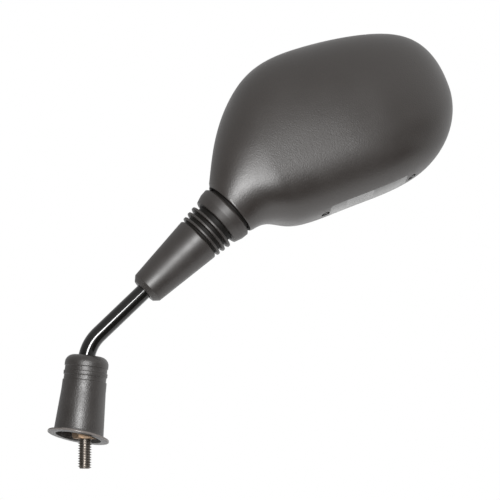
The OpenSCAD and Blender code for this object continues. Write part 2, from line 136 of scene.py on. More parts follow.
def new_piece(name: str, points: np.ndarray, faces: Sequence[Sequence[int]], crease: float = 35.0) -> bpy.types.Object:
    """Makes a mesh object at the origin, with outward faces and creases at its sharp edges.

    Args:
        name: name of the piece.
        points: places in millimetres, in the frame of the whole part.
        faces: corner indices of each face.
        crease: angle in degrees above which an edge is drawn sharp.

    Returns:
        The object, linked to the scene.
    """
    mesh = bpy.data.meshes.new(name)
    mesh.from_pydata([tuple(p) for p in np.asarray(points, float) * MM], [], [tuple(f) for f in faces])
    shape = bmesh.new()
    shape.from_mesh(mesh)
    bmesh.ops.remove_doubles(shape, verts=shape.verts, dist=SAME_PLACE)
    bmesh.ops.recalc_face_normals(shape, faces=shape.faces)
    shape.to_mesh(mesh)
    shape.free()
    piece = bpy.data.objects.new(name, mesh)
    bpy.context.scene.collection.objects.link(piece)
    shade(piece, crease)
    return piece


def shade(piece: bpy.types.Object, crease: float) -> None:
    """Shades a piece smoothly, apart from edges sharper than an angle in degrees."""
    piece.data.shade_smooth()
    piece.data.set_sharp_from_angle(angle=math.radians(crease))


def ring_faces(rings: int, sides: int, closed: bool = False) -> list[tuple[int, int, int, int]]:
    """Faces between rings of points that follow each other.

    Args:
        rings: number of rings.
        sides: points in each ring.
        closed: whether the last ring joins the first one.

    Returns:
        Four-sided faces.
    """
    last = rings if closed else rings - 1
    return [
        (
            r * sides + k,
            r * sides + (k + 1) % sides,
            ((r + 1) % rings) * sides + (k + 1) % sides,
            ((r + 1) % rings) * sides + k,
        )
        for r in range(last)
        for k in range(sides)
    ]


def rounded(corners: Sequence[tuple[float, ...]], steps: int = 5) -> np.ndarray:
    """Rounds the corners of a closed flat shape.

    Args:
        corners: places as (x, y) or (x, y, rounding radius).
        steps: pieces in each rounded corner.

    Returns:
        Array of the rounded shape's points.
    """
    out: list[np.ndarray] = []
    count = len(corners)
    for i, corner in enumerate(corners):
        here = np.array(corner[:2], float)
        radius = corner[2] if len(corner) > 2 else 0.0
        before = np.array(corners[i - 1][:2], float) - here
        after = np.array(corners[(i + 1) % count][:2], float) - here
        reach_before, reach_after = np.linalg.norm(before), np.linalg.norm(after)
        if radius <= 0 or min(reach_before, reach_after) < 1e-9:
            out.append(here)
            continue
        before, after = before / reach_before, after / reach_after
        half = math.acos(float(np.clip(before @ after, -1, 1))) / 2
        if half > math.radians(STRAIGHT_HALF_ANGLE):
            out.append(here)
            continue
        reach = min(radius / math.tan(half), 0.49 * reach_before, 0.49 * reach_after)
        a, b = here + before * reach, here + after * reach
        for k in range(steps + 1):
            t = k / steps
            out.append((1 - t) ** 2 * a + 2 * t * (1 - t) * here + t * t * b)
    return np.array(out)


def subdivided(shape: np.ndarray, longest: float) -> np.ndarray:
    """Adds points to a closed flat shape so that no side is longer than a length.

    Args:
        shape: array of n by 2 points.
        longest: length that no side may pass.

    Returns:
        Array of the shape's points.
    """
    out: list[np.ndarray] = []
    for a, b in zip(shape, np.roll(shape, -1, axis=0)):
        parts = max(1, int(math.ceil(float(np.linalg.norm(b - a)) / longest)))
        out += [a + (b - a) * k / parts for k in range(parts)]
    return np.array(out)


def lathe(name: str, outline: np.ndarray, place: Callable[[np.ndarray], np.ndarray], sides: int = 128,
          crease: float = 35.0) -> bpy.types.Object:
    """Turns a closed outline about Z into a ring-shaped or, where it touches the axis, a full solid.

    Args:
        name: name of the piece.
        outline: closed outline of (radius, height) points.
        place: function that moves points to the frame of the whole part.
        sides: pieces round the axis.
        crease: angle in degrees above which an edge is drawn sharp.

    Returns:
        The piece.
    """
    turn = np.linspace(0, 2 * math.pi, sides, endpoint=False)
    points = [
        np.stack([r * np.cos(turn), r * np.sin(turn), np.full(sides, z)], axis=1) for r, z in outline
    ]
    return new_piece(name, place(np.concatenate(points)), ring_faces(len(outline), sides, closed=True), crease)


def cut(target: bpy.types.Object, cutters: Sequence[bpy.types.Object], crease: float) -> bpy.types.Object:
    """Takes closed pieces away from a piece and removes them from the scene.

    Args:
        target: the piece that stays.
        cutters: closed pieces to take away.
        crease: angle in degrees above which an edge is drawn sharp.

    Returns:
        The target with its new mesh.
    """
    for tool in cutters:
        change = target.modifiers.new(tool.name, "BOOLEAN")
        change.operation = "DIFFERENCE"
        change.solver = "EXACT"
        change.material_mode = "TRANSFER"
        change.object = tool
    bake(target)
    for tool in cutters:
        bpy.data.objects.remove(tool)
    shape = bmesh.new()
    shape.from_mesh(target.data)
    bmesh.ops.remove_doubles(shape, verts=shape.verts, dist=SAME_CUT_PLACE)
    bmesh.ops.dissolve_degenerate(shape, edges=shape.edges, dist=SAME_PLACE)
    shape.to_mesh(target.data)
    shape.free()
    shade(target, crease)
    return target


def bake(piece: bpy.types.Object) -> bpy.types.Object:
    """Turns a piece's modifiers into plain mesh and removes them.

    Args:
        piece: the object with modifiers.

    Returns:
        The same object.
    """
    bpy.context.view_layer.update()
    evaluated = piece.evaluated_get(bpy.context.evaluated_depsgraph_get())
    mesh = bpy.data.meshes.new_from_object(evaluated)
    mesh.name = piece.name
    piece.modifiers.clear()
    piece.data = mesh
    return piece


def join(name: str, pieces: Sequence[bpy.types.Object], crease: float = 35.0) -> bpy.types.Object:
    """Makes one piece of several that belong to one moulding, and keeps their materials.

    Args:
        name: name of the joined piece.
        pieces: the objects to join.
        crease: angle in degrees above which an edge is drawn sharp.

    Returns:
        The joined piece.
    """
    with bpy.context.temp_override(active_object=pieces[0], selected_editable_objects=list(pieces)):
        bpy.ops.object.join()
    pieces[0].name = name
    pieces[0].data.name = name
    shade(pieces[0], crease)
    return pieces[0]


# Finishes


class Grain(Enum):
    """Kind of fine relief on a surface."""

    NONE = "none"
    MOULDED = "moulded"
    SATIN = "satin"
    PAINT = "paint"
    BRUSHED = "brushed"
    FOAM = "foam"


@dataclass(frozen=True)
class Finish:
    """One surface finish: its colours, gloss and fine relief."""

    name: str
    colour: Colour
    roughness: float
    metallic: float = 0.0
    second_colour: Colour | None = None
    patch_size: float = 8.0
    roughness_spread: float = 0.05
    coat: float = 0.0
    coat_roughness: float = 0.05
    specular: float = 0.5
    grain: Grain = Grain.NONE
    grain_size: float = 0.5
    grain_depth: float = 0.02

    def material(self) -> bpy.types.Material:
        """Builds the material, or returns the one already built for this finish.

        Returns:
            The material.
        """
        full_name = "finish_" + self.name
        found = bpy.data.materials.get(full_name)
        if found is not None:
            return found
        made = bpy.data.materials.new(full_name)
        made.use_nodes = True
        tree = made.node_tree
        shader = tree.nodes["Principled BSDF"]
        shader.inputs["Base Color"].default_value = (*self.colour, 1.0)
        shader.inputs["Roughness"].default_value = self.roughness
        shader.inputs["Metallic"].default_value = self.metallic
        shader.inputs["Coat Weight"].default_value = self.coat
        shader.inputs["Coat Roughness"].default_value = self.coat_roughness
        shader.inputs["Specular IOR Level"].default_value = self.specular
        where = tree.nodes.new("ShaderNodeTexCoord")
        patches = self._noise(tree, where, self.patch_size, 4.0)
        if self.second_colour is not None:
            self._colour_patches(tree, patches, shader)
        self._gloss_patches(tree, patches, shader)
        if self.grain is not Grain.NONE:
            relief = self._relief(tree, where)
            bump = tree.nodes.new("ShaderNodeBump")
            bump.inputs["Distance"].default_value = self.grain_depth * MM
            tree.links.new(relief, bump.inputs["Height"])
            tree.links.new(bump.outputs["Normal"], shader.inputs["Normal"])
        return made

    @staticmethod
    def _noise(tree: bpy.types.NodeTree, where: bpy.types.Node, size: float, detail: float) -> bpy.types.Node:
        """Adds a noise texture whose features are about a size in millimetres.

        Args:
            tree: the material's tree.
            where: its texture coordinate node.
            size: size of the features.
            detail: number of finer layers.

        Returns:
            The noise node.
        """
        noise = tree.nodes.new("ShaderNodeTexNoise")
        noise.inputs["Scale"].default_value = 1.0 / (size * MM)
        noise.inputs["Detail"].default_value = detail
        tree.links.new(where.outputs["Object"], noise.inputs["Vector"])
        return noise

    def _colour_patches(self, tree: bpy.types.NodeTree, patches: bpy.types.Node, shader: bpy.types.Node) -> None:
        """Lets the colour drift between the finish's two colours.

        Args:
            tree: the material's tree.
            patches: noise that steers the drift.
            shader: the node to colour.
        """
        ramp = tree.nodes.new("ShaderNodeValToRGB")
        ramp.color_ramp.elements[0].position, ramp.color_ramp.elements[1].position = COLOUR_DRIFT
        ramp.color_ramp.elements[0].color = (*self.colour, 1.0)
        ramp.color_ramp.elements[1].color = (*self.second_colour, 1.0)
        tree.links.new(patches.outputs["Fac"], ramp.inputs["Fac"])
        tree.links.new(ramp.outputs["Color"], shader.inputs["Base Color"])

    def _gloss_patches(self, tree: bpy.types.NodeTree, patches: bpy.types.Node, shader: bpy.types.Node) -> None:
        """Lets the roughness drift a little round its middle value.

        Args:
            tree: the material's tree.
            patches: noise that steers the drift.
            shader: the node to change.
        """
        drift = tree.nodes.new("ShaderNodeMapRange")
        drift.inputs["From Min"].default_value, drift.inputs["From Max"].default_value = GLOSS_DRIFT
        drift.inputs["To Min"].default_value = max(self.roughness - self.roughness_spread, 0.0)
        drift.inputs["To Max"].default_value = min(self.roughness + self.roughness_spread, 1.0)
        tree.links.new(patches.outputs["Fac"], drift.inputs["Value"])
        tree.links.new(drift.outputs["Result"], shader.inputs["Roughness"])

    def _relief(self, tree: bpy.types.NodeTree, where: bpy.types.Node) -> bpy.types.NodeSocket:
        """Adds the height pattern of the grain.

        Args:
            tree: the material's tree.
            where: its texture coordinate node.

        Returns:
            The socket with the height.
        """
        if self.grain is Grain.MOULDED:
            cells = tree.nodes.new("ShaderNodeTexVoronoi")
            cells.feature = "SMOOTH_F1"
            cells.inputs["Scale"].default_value = 1.0 / (self.grain_size * MM)
            cells.inputs["Smoothness"].default_value = 0.8
            tree.links.new(where.outputs["Object"], cells.inputs["Vector"])
            uneven = self._noise(tree, where, self.grain_size * 1.6, 3.0)
            both = tree.nodes.new("ShaderNodeMath")
            both.operation = "MULTIPLY_ADD"
            both.inputs[1].default_value = 2.6
            tree.links.new(uneven.outputs["Fac"], both.inputs[0])
            tree.links.new(cells.outputs["Distance"], both.inputs[2])
            return both.outputs["Value"]
        if self.grain is Grain.BRUSHED:
            stretch = tree.nodes.new("ShaderNodeMapping")
            stretch.inputs["Scale"].default_value = (1.0, 1.0, 14.0)
            tree.links.new(where.outputs["Object"], stretch.inputs["Vector"])
            noise = tree.nodes.new("ShaderNodeTexNoise")
            noise.inputs["Scale"].default_value = 1.0 / (self.grain_size * MM)
            noise.inputs["Detail"].default_value = 3.0
            tree.links.new(stretch.outputs["Vector"], noise.inputs["Vector"])
            return noise.outputs["Fac"]
        detail = {Grain.SATIN: 3.0, Grain.PAINT: 1.0, Grain.FOAM: 6.0}[self.grain]
        return self._noise(tree, where, self.grain_size, detail).outputs["Fac"]

    def onto(self, piece: bpy.types.Object) -> bpy.types.Object:
        """Gives the whole piece this finish and returns the piece.

        Args:
            piece: the object to dress.

        Returns:
            The same object.
        """
        piece.data.materials.clear()
        piece.data.materials.append(self.material())
        return piece

    def onto_node(self, node: str) -> None:
        """Gives a CAD node this finish, in every material slot that it has.

        Args:
            node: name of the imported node.
        """
        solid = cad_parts[node]
        for slot in solid.material_slots:
            slot.material = self.material()
        if not solid.material_slots:
            solid.data.materials.append(self.material())


HOUSING_PLASTIC = Finish("housing_plastic", (0.019, 0.0145, 0.0120), 0.41, second_colour=(0.022, 0.0172, 0.0145),
                         patch_size=30.0, specular=1.0, grain=Grain.MOULDED, grain_size=0.52, grain_depth=0.040)
# Painted shade: a near-black copy of the housing plastic for faces deep in narrow recesses, standing in for the shade
# that falls there.
PAINTED_SHADE_PLASTIC = Finish("painted_shade_plastic", (0.006, 0.005, 0.004), 0.6, specular=0.2, grain=Grain.SATIN,
                        grain_size=0.8, grain_depth=0.01)
# Painted shade: a near-black copy of the gaiter rubber for its narrow valleys and the gap under the neck, standing in
# for the shade there.
PAINTED_SHADE_RUBBER = Finish("painted_shade_rubber", (0.006, 0.005, 0.004), 0.6, specular=0.25, grain=Grain.SATIN,
                       grain_size=1.0, grain_depth=0.01)
STRIP_PLASTIC = Finish("strip_plastic", (0.050, 0.048, 0.046), 0.25, patch_size=30.0, specular=1.0,
                       grain=Grain.SATIN, grain_size=2.0, grain_depth=0.006)
COVER_RUBBER = Finish("cover_rubber", (0.013, 0.0098, 0.0080), 0.42, second_colour=(0.016, 0.0124, 0.0104),
                      patch_size=12.0, specular=1.0, grain=Grain.MOULDED, grain_size=0.52, grain_depth=0.050)
# Painted highlight: a pale finish on the rubber flange's rim, standing in for the light caught along its edge.
COVER_PAINTED_HIGHLIGHT = Finish("cover_painted_highlight", (0.130, 0.116, 0.108), 0.28, grain=Grain.SATIN, grain_size=1.5, grain_depth=0.01)
GAITER_RUBBER = Finish("gaiter_rubber", (0.018, 0.0140, 0.0118), 0.46, second_colour=(0.022, 0.0178, 0.0155),
                       patch_size=15.0, specular=0.9, grain=Grain.SATIN, grain_size=1.2, grain_depth=0.02)
STEM_PAINT = Finish("stem_paint", (0.004, 0.0035, 0.003), 0.30, coat=1.0, coat_roughness=0.08, specular=0.1,
                    grain=Grain.PAINT, grain_size=2.5, grain_depth=0.006)
# Yellow zinc, its colour darkened as painted shade for the shade that the cover casts on the nut.
NUT_ZINC_PAINTED_SHADE = Finish("nut_zinc_painted_shade", (0.23, 0.155, 0.100), 0.58, metallic=1.0, second_colour=(0.30, 0.225, 0.16),
                  patch_size=3.0, roughness_spread=0.08, grain=Grain.SATIN, grain_size=0.6, grain_depth=0.01)
THREAD_STEEL = Finish("thread_steel", (0.17, 0.151, 0.133), 0.42, metallic=1.0, second_colour=(0.14, 0.122, 0.106),
                      patch_size=4.0, roughness_spread=0.06, grain=Grain.SATIN, grain_size=0.6, grain_depth=0.005)
BALL_STEEL = Finish("ball_steel", (0.60, 0.60, 0.61), 0.16, metallic=1.0, grain=Grain.SATIN,
                    grain_size=0.8, grain_depth=0.004)
CUP_STEEL = Finish("cup_steel", (0.55, 0.55, 0.57), 0.32, metallic=1.0, grain=Grain.BRUSHED,
                   grain_size=1.5, grain_depth=0.008)
LINER_NYLON = Finish("liner_nylon", (0.72, 0.69, 0.58), 0.42, grain=Grain.SATIN, grain_size=0.8, grain_depth=0.008)
CLAMP_PLASTIC = Finish("clamp_plastic", (0.035, 0.035, 0.037), 0.52, grain=Grain.MOULDED, grain_size=0.9,
                       grain_depth=0.03)
SCREW_ZINC = Finish("screw_zinc", (0.60, 0.58, 0.52), 0.28, metallic=1.0, grain=Grain.BRUSHED,
                    grain_size=0.9, grain_depth=0.006)
FRAME_PLASTIC = Finish("frame_plastic", (0.020, 0.020, 0.020), 0.38, patch_size=20.0, grain=Grain.MOULDED,
                       grain_size=0.6, grain_depth=0.02)
PAD_FOAM = Finish("pad_foam", (0.05, 0.05, 0.052), 0.9, grain=Grain.FOAM, grain_size=1.0, grain_depth=0.15)
MIRROR_SILVER = Finish("mirror_silver", (0.86, 0.885, 0.89), 0.012, metallic=1.0, roughness_spread=0.004,
                       patch_size=60.0)
GLASS_EDGE = Finish("glass_edge", (0.30, 0.38, 0.35), 0.42, grain=Grain.SATIN, grain_size=0.5, grain_depth=0.02)
DARK_CARD = Finish("dark_card", (0.02, 0.02, 0.02), 0.9)
PALE_FLOOR = Finish("pale_floor", (0.82, 0.82, 0.82), 0.7, specular=0.0)


def dress_faces(piece: bpy.types.Object, finish: Finish, chosen: Callable[[Vector], bool]) -> None:
    """Gives the faces whose middle passes a test a further finish.

    Args:
        piece: the piece.
        finish: the finish of the chosen faces.
        chosen: test of a place in millimetres.
    """
    piece.data.materials.append(finish.material())
    number = len(piece.data.materials) - 1
    for face in piece.data.polygons:
        if chosen(face.center / MM):
            face.material_index = number


# Geometry Nodes


@dataclass
class NodeTree:
    """A Geometry Nodes tree with named inputs that ends in Realize Instances and Set Material."""

    name: str
    tree: bpy.types.NodeTree = field(init=False)
    entry: bpy.types.Node = field(init=False)

    def __post_init__(self) -> None:
        """Starts the tree with a geometry input and output."""
        self.tree = bpy.data.node_groups.new(self.name, "GeometryNodeTree")
        self.tree.interface.new_socket("Geometry", in_out="INPUT", socket_type="NodeSocketGeometry")
        self.tree.interface.new_socket("Geometry", in_out="OUTPUT", socket_type="NodeSocketGeometry")
        self.entry = self.tree.nodes.new("NodeGroupInput")

    def size(self, name: str, kind: str = "NodeSocketFloat") -> None:
        """Adds a named input to the tree."""
        self.tree.interface.new_socket(name, in_out="INPUT", socket_type=kind)

    def add(self, kind: str, **values: object) -> bpy.types.Node:
        """Adds a node and sets its properties.

        Args:
            kind: the node's type name.
            **values: properties of the node.

        Returns:
            The new node.
        """
        node = self.tree.nodes.new(kind)
        for key, value in values.items():
            setattr(node, key, value)
        return node

    def link(self, start: bpy.types.NodeSocket, end: bpy.types.NodeSocket) -> None:
        """Joins two sockets."""
        self.tree.links.new(start, end)

    def maths(self, operation: str, first: object, second: object) -> bpy.types.NodeSocket:
        """Adds a Math node on two sockets or numbers.

        Args:
            operation: the Math node's operation.
            first: socket or number.
            second: socket or number.

        Returns:
            The result's socket.
        """
        node = self.add("ShaderNodeMath", operation=operation)
        for place, value in enumerate((first, second)):
            if isinstance(value, bpy.types.NodeSocket):
                self.link(value, node.inputs[place])
            else:
                node.inputs[place].default_value = float(value)
        return node.outputs[0]

    def finish(self, geometry: bpy.types.NodeSocket, material: bpy.types.Material) -> None:
        """Ends the tree with realized geometry in one material.

        Args:
            geometry: socket with the finished geometry.
            material: material of all of it.
        """
        real = self.add("GeometryNodeRealizeInstances")
        dress = self.add("GeometryNodeSetMaterial")
        dress.inputs["Material"].default_value = material
        out = self.add("NodeGroupOutput")
        self.link(geometry, real.inputs[0])
        self.link(real.outputs[0], dress.inputs["Geometry"])
        self.link(dress.outputs[0], out.inputs[0])

    def build(self, piece: bpy.types.Object, sizes: dict[str, float]) -> bpy.types.Object:
        """Runs the tree on a piece with the given sizes and keeps the result as plain mesh.

        Args:
            piece: the object that the tree starts from.
            sizes: value of each named input.

        Returns:
            The piece with its new mesh.
        """
        change = piece.modifiers.new(self.name, "NODES")
        change.node_group = self.tree
        sockets = {item.name: item.identifier for item in self.tree.interface.items_tree if item.in_out == "INPUT"}
        for name, value in sizes.items():
            change[sockets[name]] = value
        return bake(piece)


def polyline(name: str, points: np.ndarray, radii: np.ndarray) -> bpy.types.Object:
    """Makes a line of points that a node tree sweeps, with the sweep's radius at each point.

    Args:
        name: name of the object.
        points: places in millimetres.
        radii: radius at each place, in millimetres.

    Returns:
        The object, linked to the scene.
    """
    mesh = bpy.data.meshes.new(name)
    count = len(points)
    mesh.from_pydata([tuple(p) for p in points * MM], [(i, i + 1) for i in range(count - 1)], [])
    sweep = mesh.attributes.new("sweep_radius", "FLOAT", "POINT")
    sweep.data.foreach_set("value", (radii * MM).astype(np.float32))
    line = bpy.data.objects.new(name, mesh)
    bpy.context.scene.collection.objects.link(line)
    return line


def sweep_tree(material: bpy.types.Material) -> NodeTree:
    """Builds the tree that sweeps a circle along a line, with a radius that changes on the way.

    Args:
        material: material of the swept bar.

    Returns:
        The tree, whose input is the number of sides.
    """
    tree = NodeTree("round_bar")
    tree.size("Sides", "NodeSocketInt")
    named = tree.add("GeometryNodeInputNamedAttribute", data_type="FLOAT")
    named.inputs["Name"].default_value = "sweep_radius"
    path = tree.add("GeometryNodeMeshToCurve")
    circle = tree.add("GeometryNodeCurvePrimitiveCircle", mode="RADIUS")
    circle.inputs["Radius"].default_value = 1.0
    swept = tree.add("GeometryNodeCurveToMesh")
    swept.inputs["Fill Caps"].default_value = True
    tree.link(tree.entry.outputs["Geometry"], path.inputs["Mesh"])
    tree.link(tree.entry.outputs["Sides"], circle.inputs["Resolution"])
    tree.link(path.outputs["Curve"], swept.inputs["Curve"])
    tree.link(circle.outputs["Curve"], swept.inputs["Profile Curve"])
    tree.link(named.outputs["Attribute"], swept.inputs["Scale"])
    tree.finish(swept.outputs["Mesh"], material)
    return tree


# The stem and its nut


@dataclass
class Stem:
    """The bent steel rod with its threaded stud, and the ball at its upper end. Sizes in millimetres."""

    leg: Leg
    rod_d: float = 10.0
    bend_radius: float = 25.0
    stud_d: float = 8.0
    stud_length: float = 17.6
    thread_pitch: float = 1.5
    thread_depth: float = 0.85
    nut_height: float = 6.5
    ball_d: float = 15.0
    shank_rise: float = 2.0
    neck_length: float = 6.0
    neck_r: float = 4.0
    spigot_r: float = 3.0
    ball_seat_share: float = 0.83
    ridge_foot_share: float = 0.86
    ridge_crest_share: float = 0.16
    sides: int = 96

    def path(self) -> tuple[np.ndarray, np.ndarray]:
        """Centre line of the painted rod, from just above the nut to the ball.

        Returns:
            Places and radii.
        """
        leg, radius = self.leg, self.rod_d / 2
        angle = math.radians(leg.bend_angle)
        setback = self.bend_radius * math.tan(angle / 2)
        foot = self.nut_height + self.shank_rise
        places: list[tuple[float, float, float]] = [
            (0, 0, foot), (0, 0, foot), (0, 0, foot + 1.6), (0, 0, foot + 1.9)
        ]
        radii = [0.0, self.stud_d / 2 - 0.15, radius - 0.12, radius]
        for z in np.linspace(foot + 4, leg.bend_height - setback - 0.8, 16):
            places.append((0, 0, float(z)))
            radii.append(radius)
        for a in np.linspace(0, angle, 56):
            places.append((
                self.bend_radius * (1 - math.cos(a)), 0,
                leg.bend_height - setback + self.bend_radius * math.sin(a),
            ))
            radii.append(radius)
        seat = leg.upper_leg - self.ball_seat_share * self.ball_d / 2
        neck = seat - self.neck_length
        for s, r in [*((float(s), radius) for s in np.linspace(setback + 1.0, neck - 2.0, 40)),
                     (neck - 1.6, radius - 0.05), (neck, self.neck_r), (seat, self.neck_r),
                     (seat + 0.5, self.spigot_r), (seat + 0.5, 0.0)]:
            places.append((s * math.sin(angle), 0, leg.bend_height + s * math.cos(angle)))
            radii.append(r)
        return np.array(places), np.array(radii)

    def rod(self) -> bpy.types.Object:
        """Sweeps the painted rod along its path.

        Returns:
            The rod as one mesh.
        """
        places, radii = self.path()
        keep = radii > 0
        line = polyline("stem_rod_painted", places[keep], radii[keep])
        piece = sweep_tree(STEM_PAINT.material()).build(line, {"Sides": self.sides})
        shade(piece, 40.0)
        return piece

    def thread(self) -> bpy.types.Object:
        """Makes the stud: a plain core with its chamfer, and a thread ridge swept round it.

        Returns:
            The stud as one mesh.
        """
        crest, root = self.stud_d / 2, self.stud_d / 2 - self.thread_depth
        core = lathe("stud_thread", np.array([
            (0.0, -self.stud_length), (root - 0.35, -self.stud_length), (root, 0.4 - self.stud_length),
            (root, self.nut_height + 2.2), (0.0, self.nut_height + 2.2),
        ]), lambda p: p, sides=64)
        THREAD_STEEL.onto(core)
        tree = NodeTree("thread_ridge")
        for name in ("Pitch", "Root Radius", "Depth", "Length", "Foot"):
            tree.size(name)
        turns = tree.maths("DIVIDE", tree.entry.outputs["Length"], tree.entry.outputs["Pitch"])
        helix = tree.add("GeometryNodeCurveSpiral")
        helix.inputs["Resolution"].default_value = 48
        tree.link(turns, helix.inputs["Rotations"])
        tree.link(tree.entry.outputs["Root Radius"], helix.inputs["Start Radius"])
        tree.link(tree.entry.outputs["Root Radius"], helix.inputs["End Radius"])
        tree.link(tree.entry.outputs["Length"], helix.inputs["Height"])
        ridge = tree.add("GeometryNodeCurvePrimitiveQuadrilateral", mode="TRAPEZOID")
        pitch = tree.entry.outputs["Pitch"]
        tree.link(tree.maths("MULTIPLY", pitch, self.ridge_foot_share), ridge.inputs["Bottom Width"])
        tree.link(tree.maths("MULTIPLY", pitch, self.ridge_crest_share), ridge.inputs["Top Width"])
        tree.link(tree.maths("MULTIPLY", tree.entry.outputs["Depth"], 2.0), ridge.inputs["Height"])
        ridge.inputs["Offset"].default_value = 0.0
        stand = tree.add("GeometryNodeTransform")
        stand.inputs["Rotation"].default_value = (0.0, 0.0, math.pi / 2)
        tree.link(ridge.outputs["Curve"], stand.inputs["Geometry"])
        swept = tree.add("GeometryNodeCurveToMesh")
        swept.inputs["Fill Caps"].default_value = True
        upright = tree.add("GeometryNodeSetCurveNormal", mode="Z_UP")
        tree.link(helix.outputs["Curve"], upright.inputs["Curve"])
        tree.link(upright.outputs["Curve"], swept.inputs["Curve"])
        tree.link(stand.outputs["Geometry"], swept.inputs["Profile Curve"])
        move = tree.add("GeometryNodeTransform")
        lift = tree.add("ShaderNodeCombineXYZ")
        tree.link(tree.entry.outputs["Foot"], lift.inputs["Z"])
        tree.link(lift.outputs["Vector"], move.inputs["Translation"])
        tree.link(swept.outputs["Mesh"], move.inputs["Geometry"])
        both = tree.add("GeometryNodeJoinGeometry")
        tree.link(tree.entry.outputs["Geometry"], both.inputs[0])
        tree.link(move.outputs["Geometry"], both.inputs[0])
        tree.finish(both.outputs[0], THREAD_STEEL.material())
        tree.build(core, {
            "Pitch": self.thread_pitch * MM, "Root Radius": root * MM, "Depth": (crest - root) * MM,
            "Length": (self.stud_length + self.nut_height - 1.2) * MM, "Foot": (0.7 - self.stud_length) * MM,
        })
        shade(core, 30.0)
        return core

    def dress(self) -> list[bpy.types.Object]:
        """Builds and dresses the rod, the stud, the nut and the ball.

        Returns:
            The new pieces.
        """
        rod, stud = self.rod(), self.thread()
        for piece in (rod, stud):
            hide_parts("stem_rod")
            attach(piece, "stem")
        # The nut's yellow zinc finish is darkened as painted shade for the cover's shade on it.
        NUT_ZINC_PAINTED_SHADE.onto_node("lock_nut")
        BALL_STEEL.onto_node("pivot_ball")
        return [rod, stud]


# The rubber cover at the foot


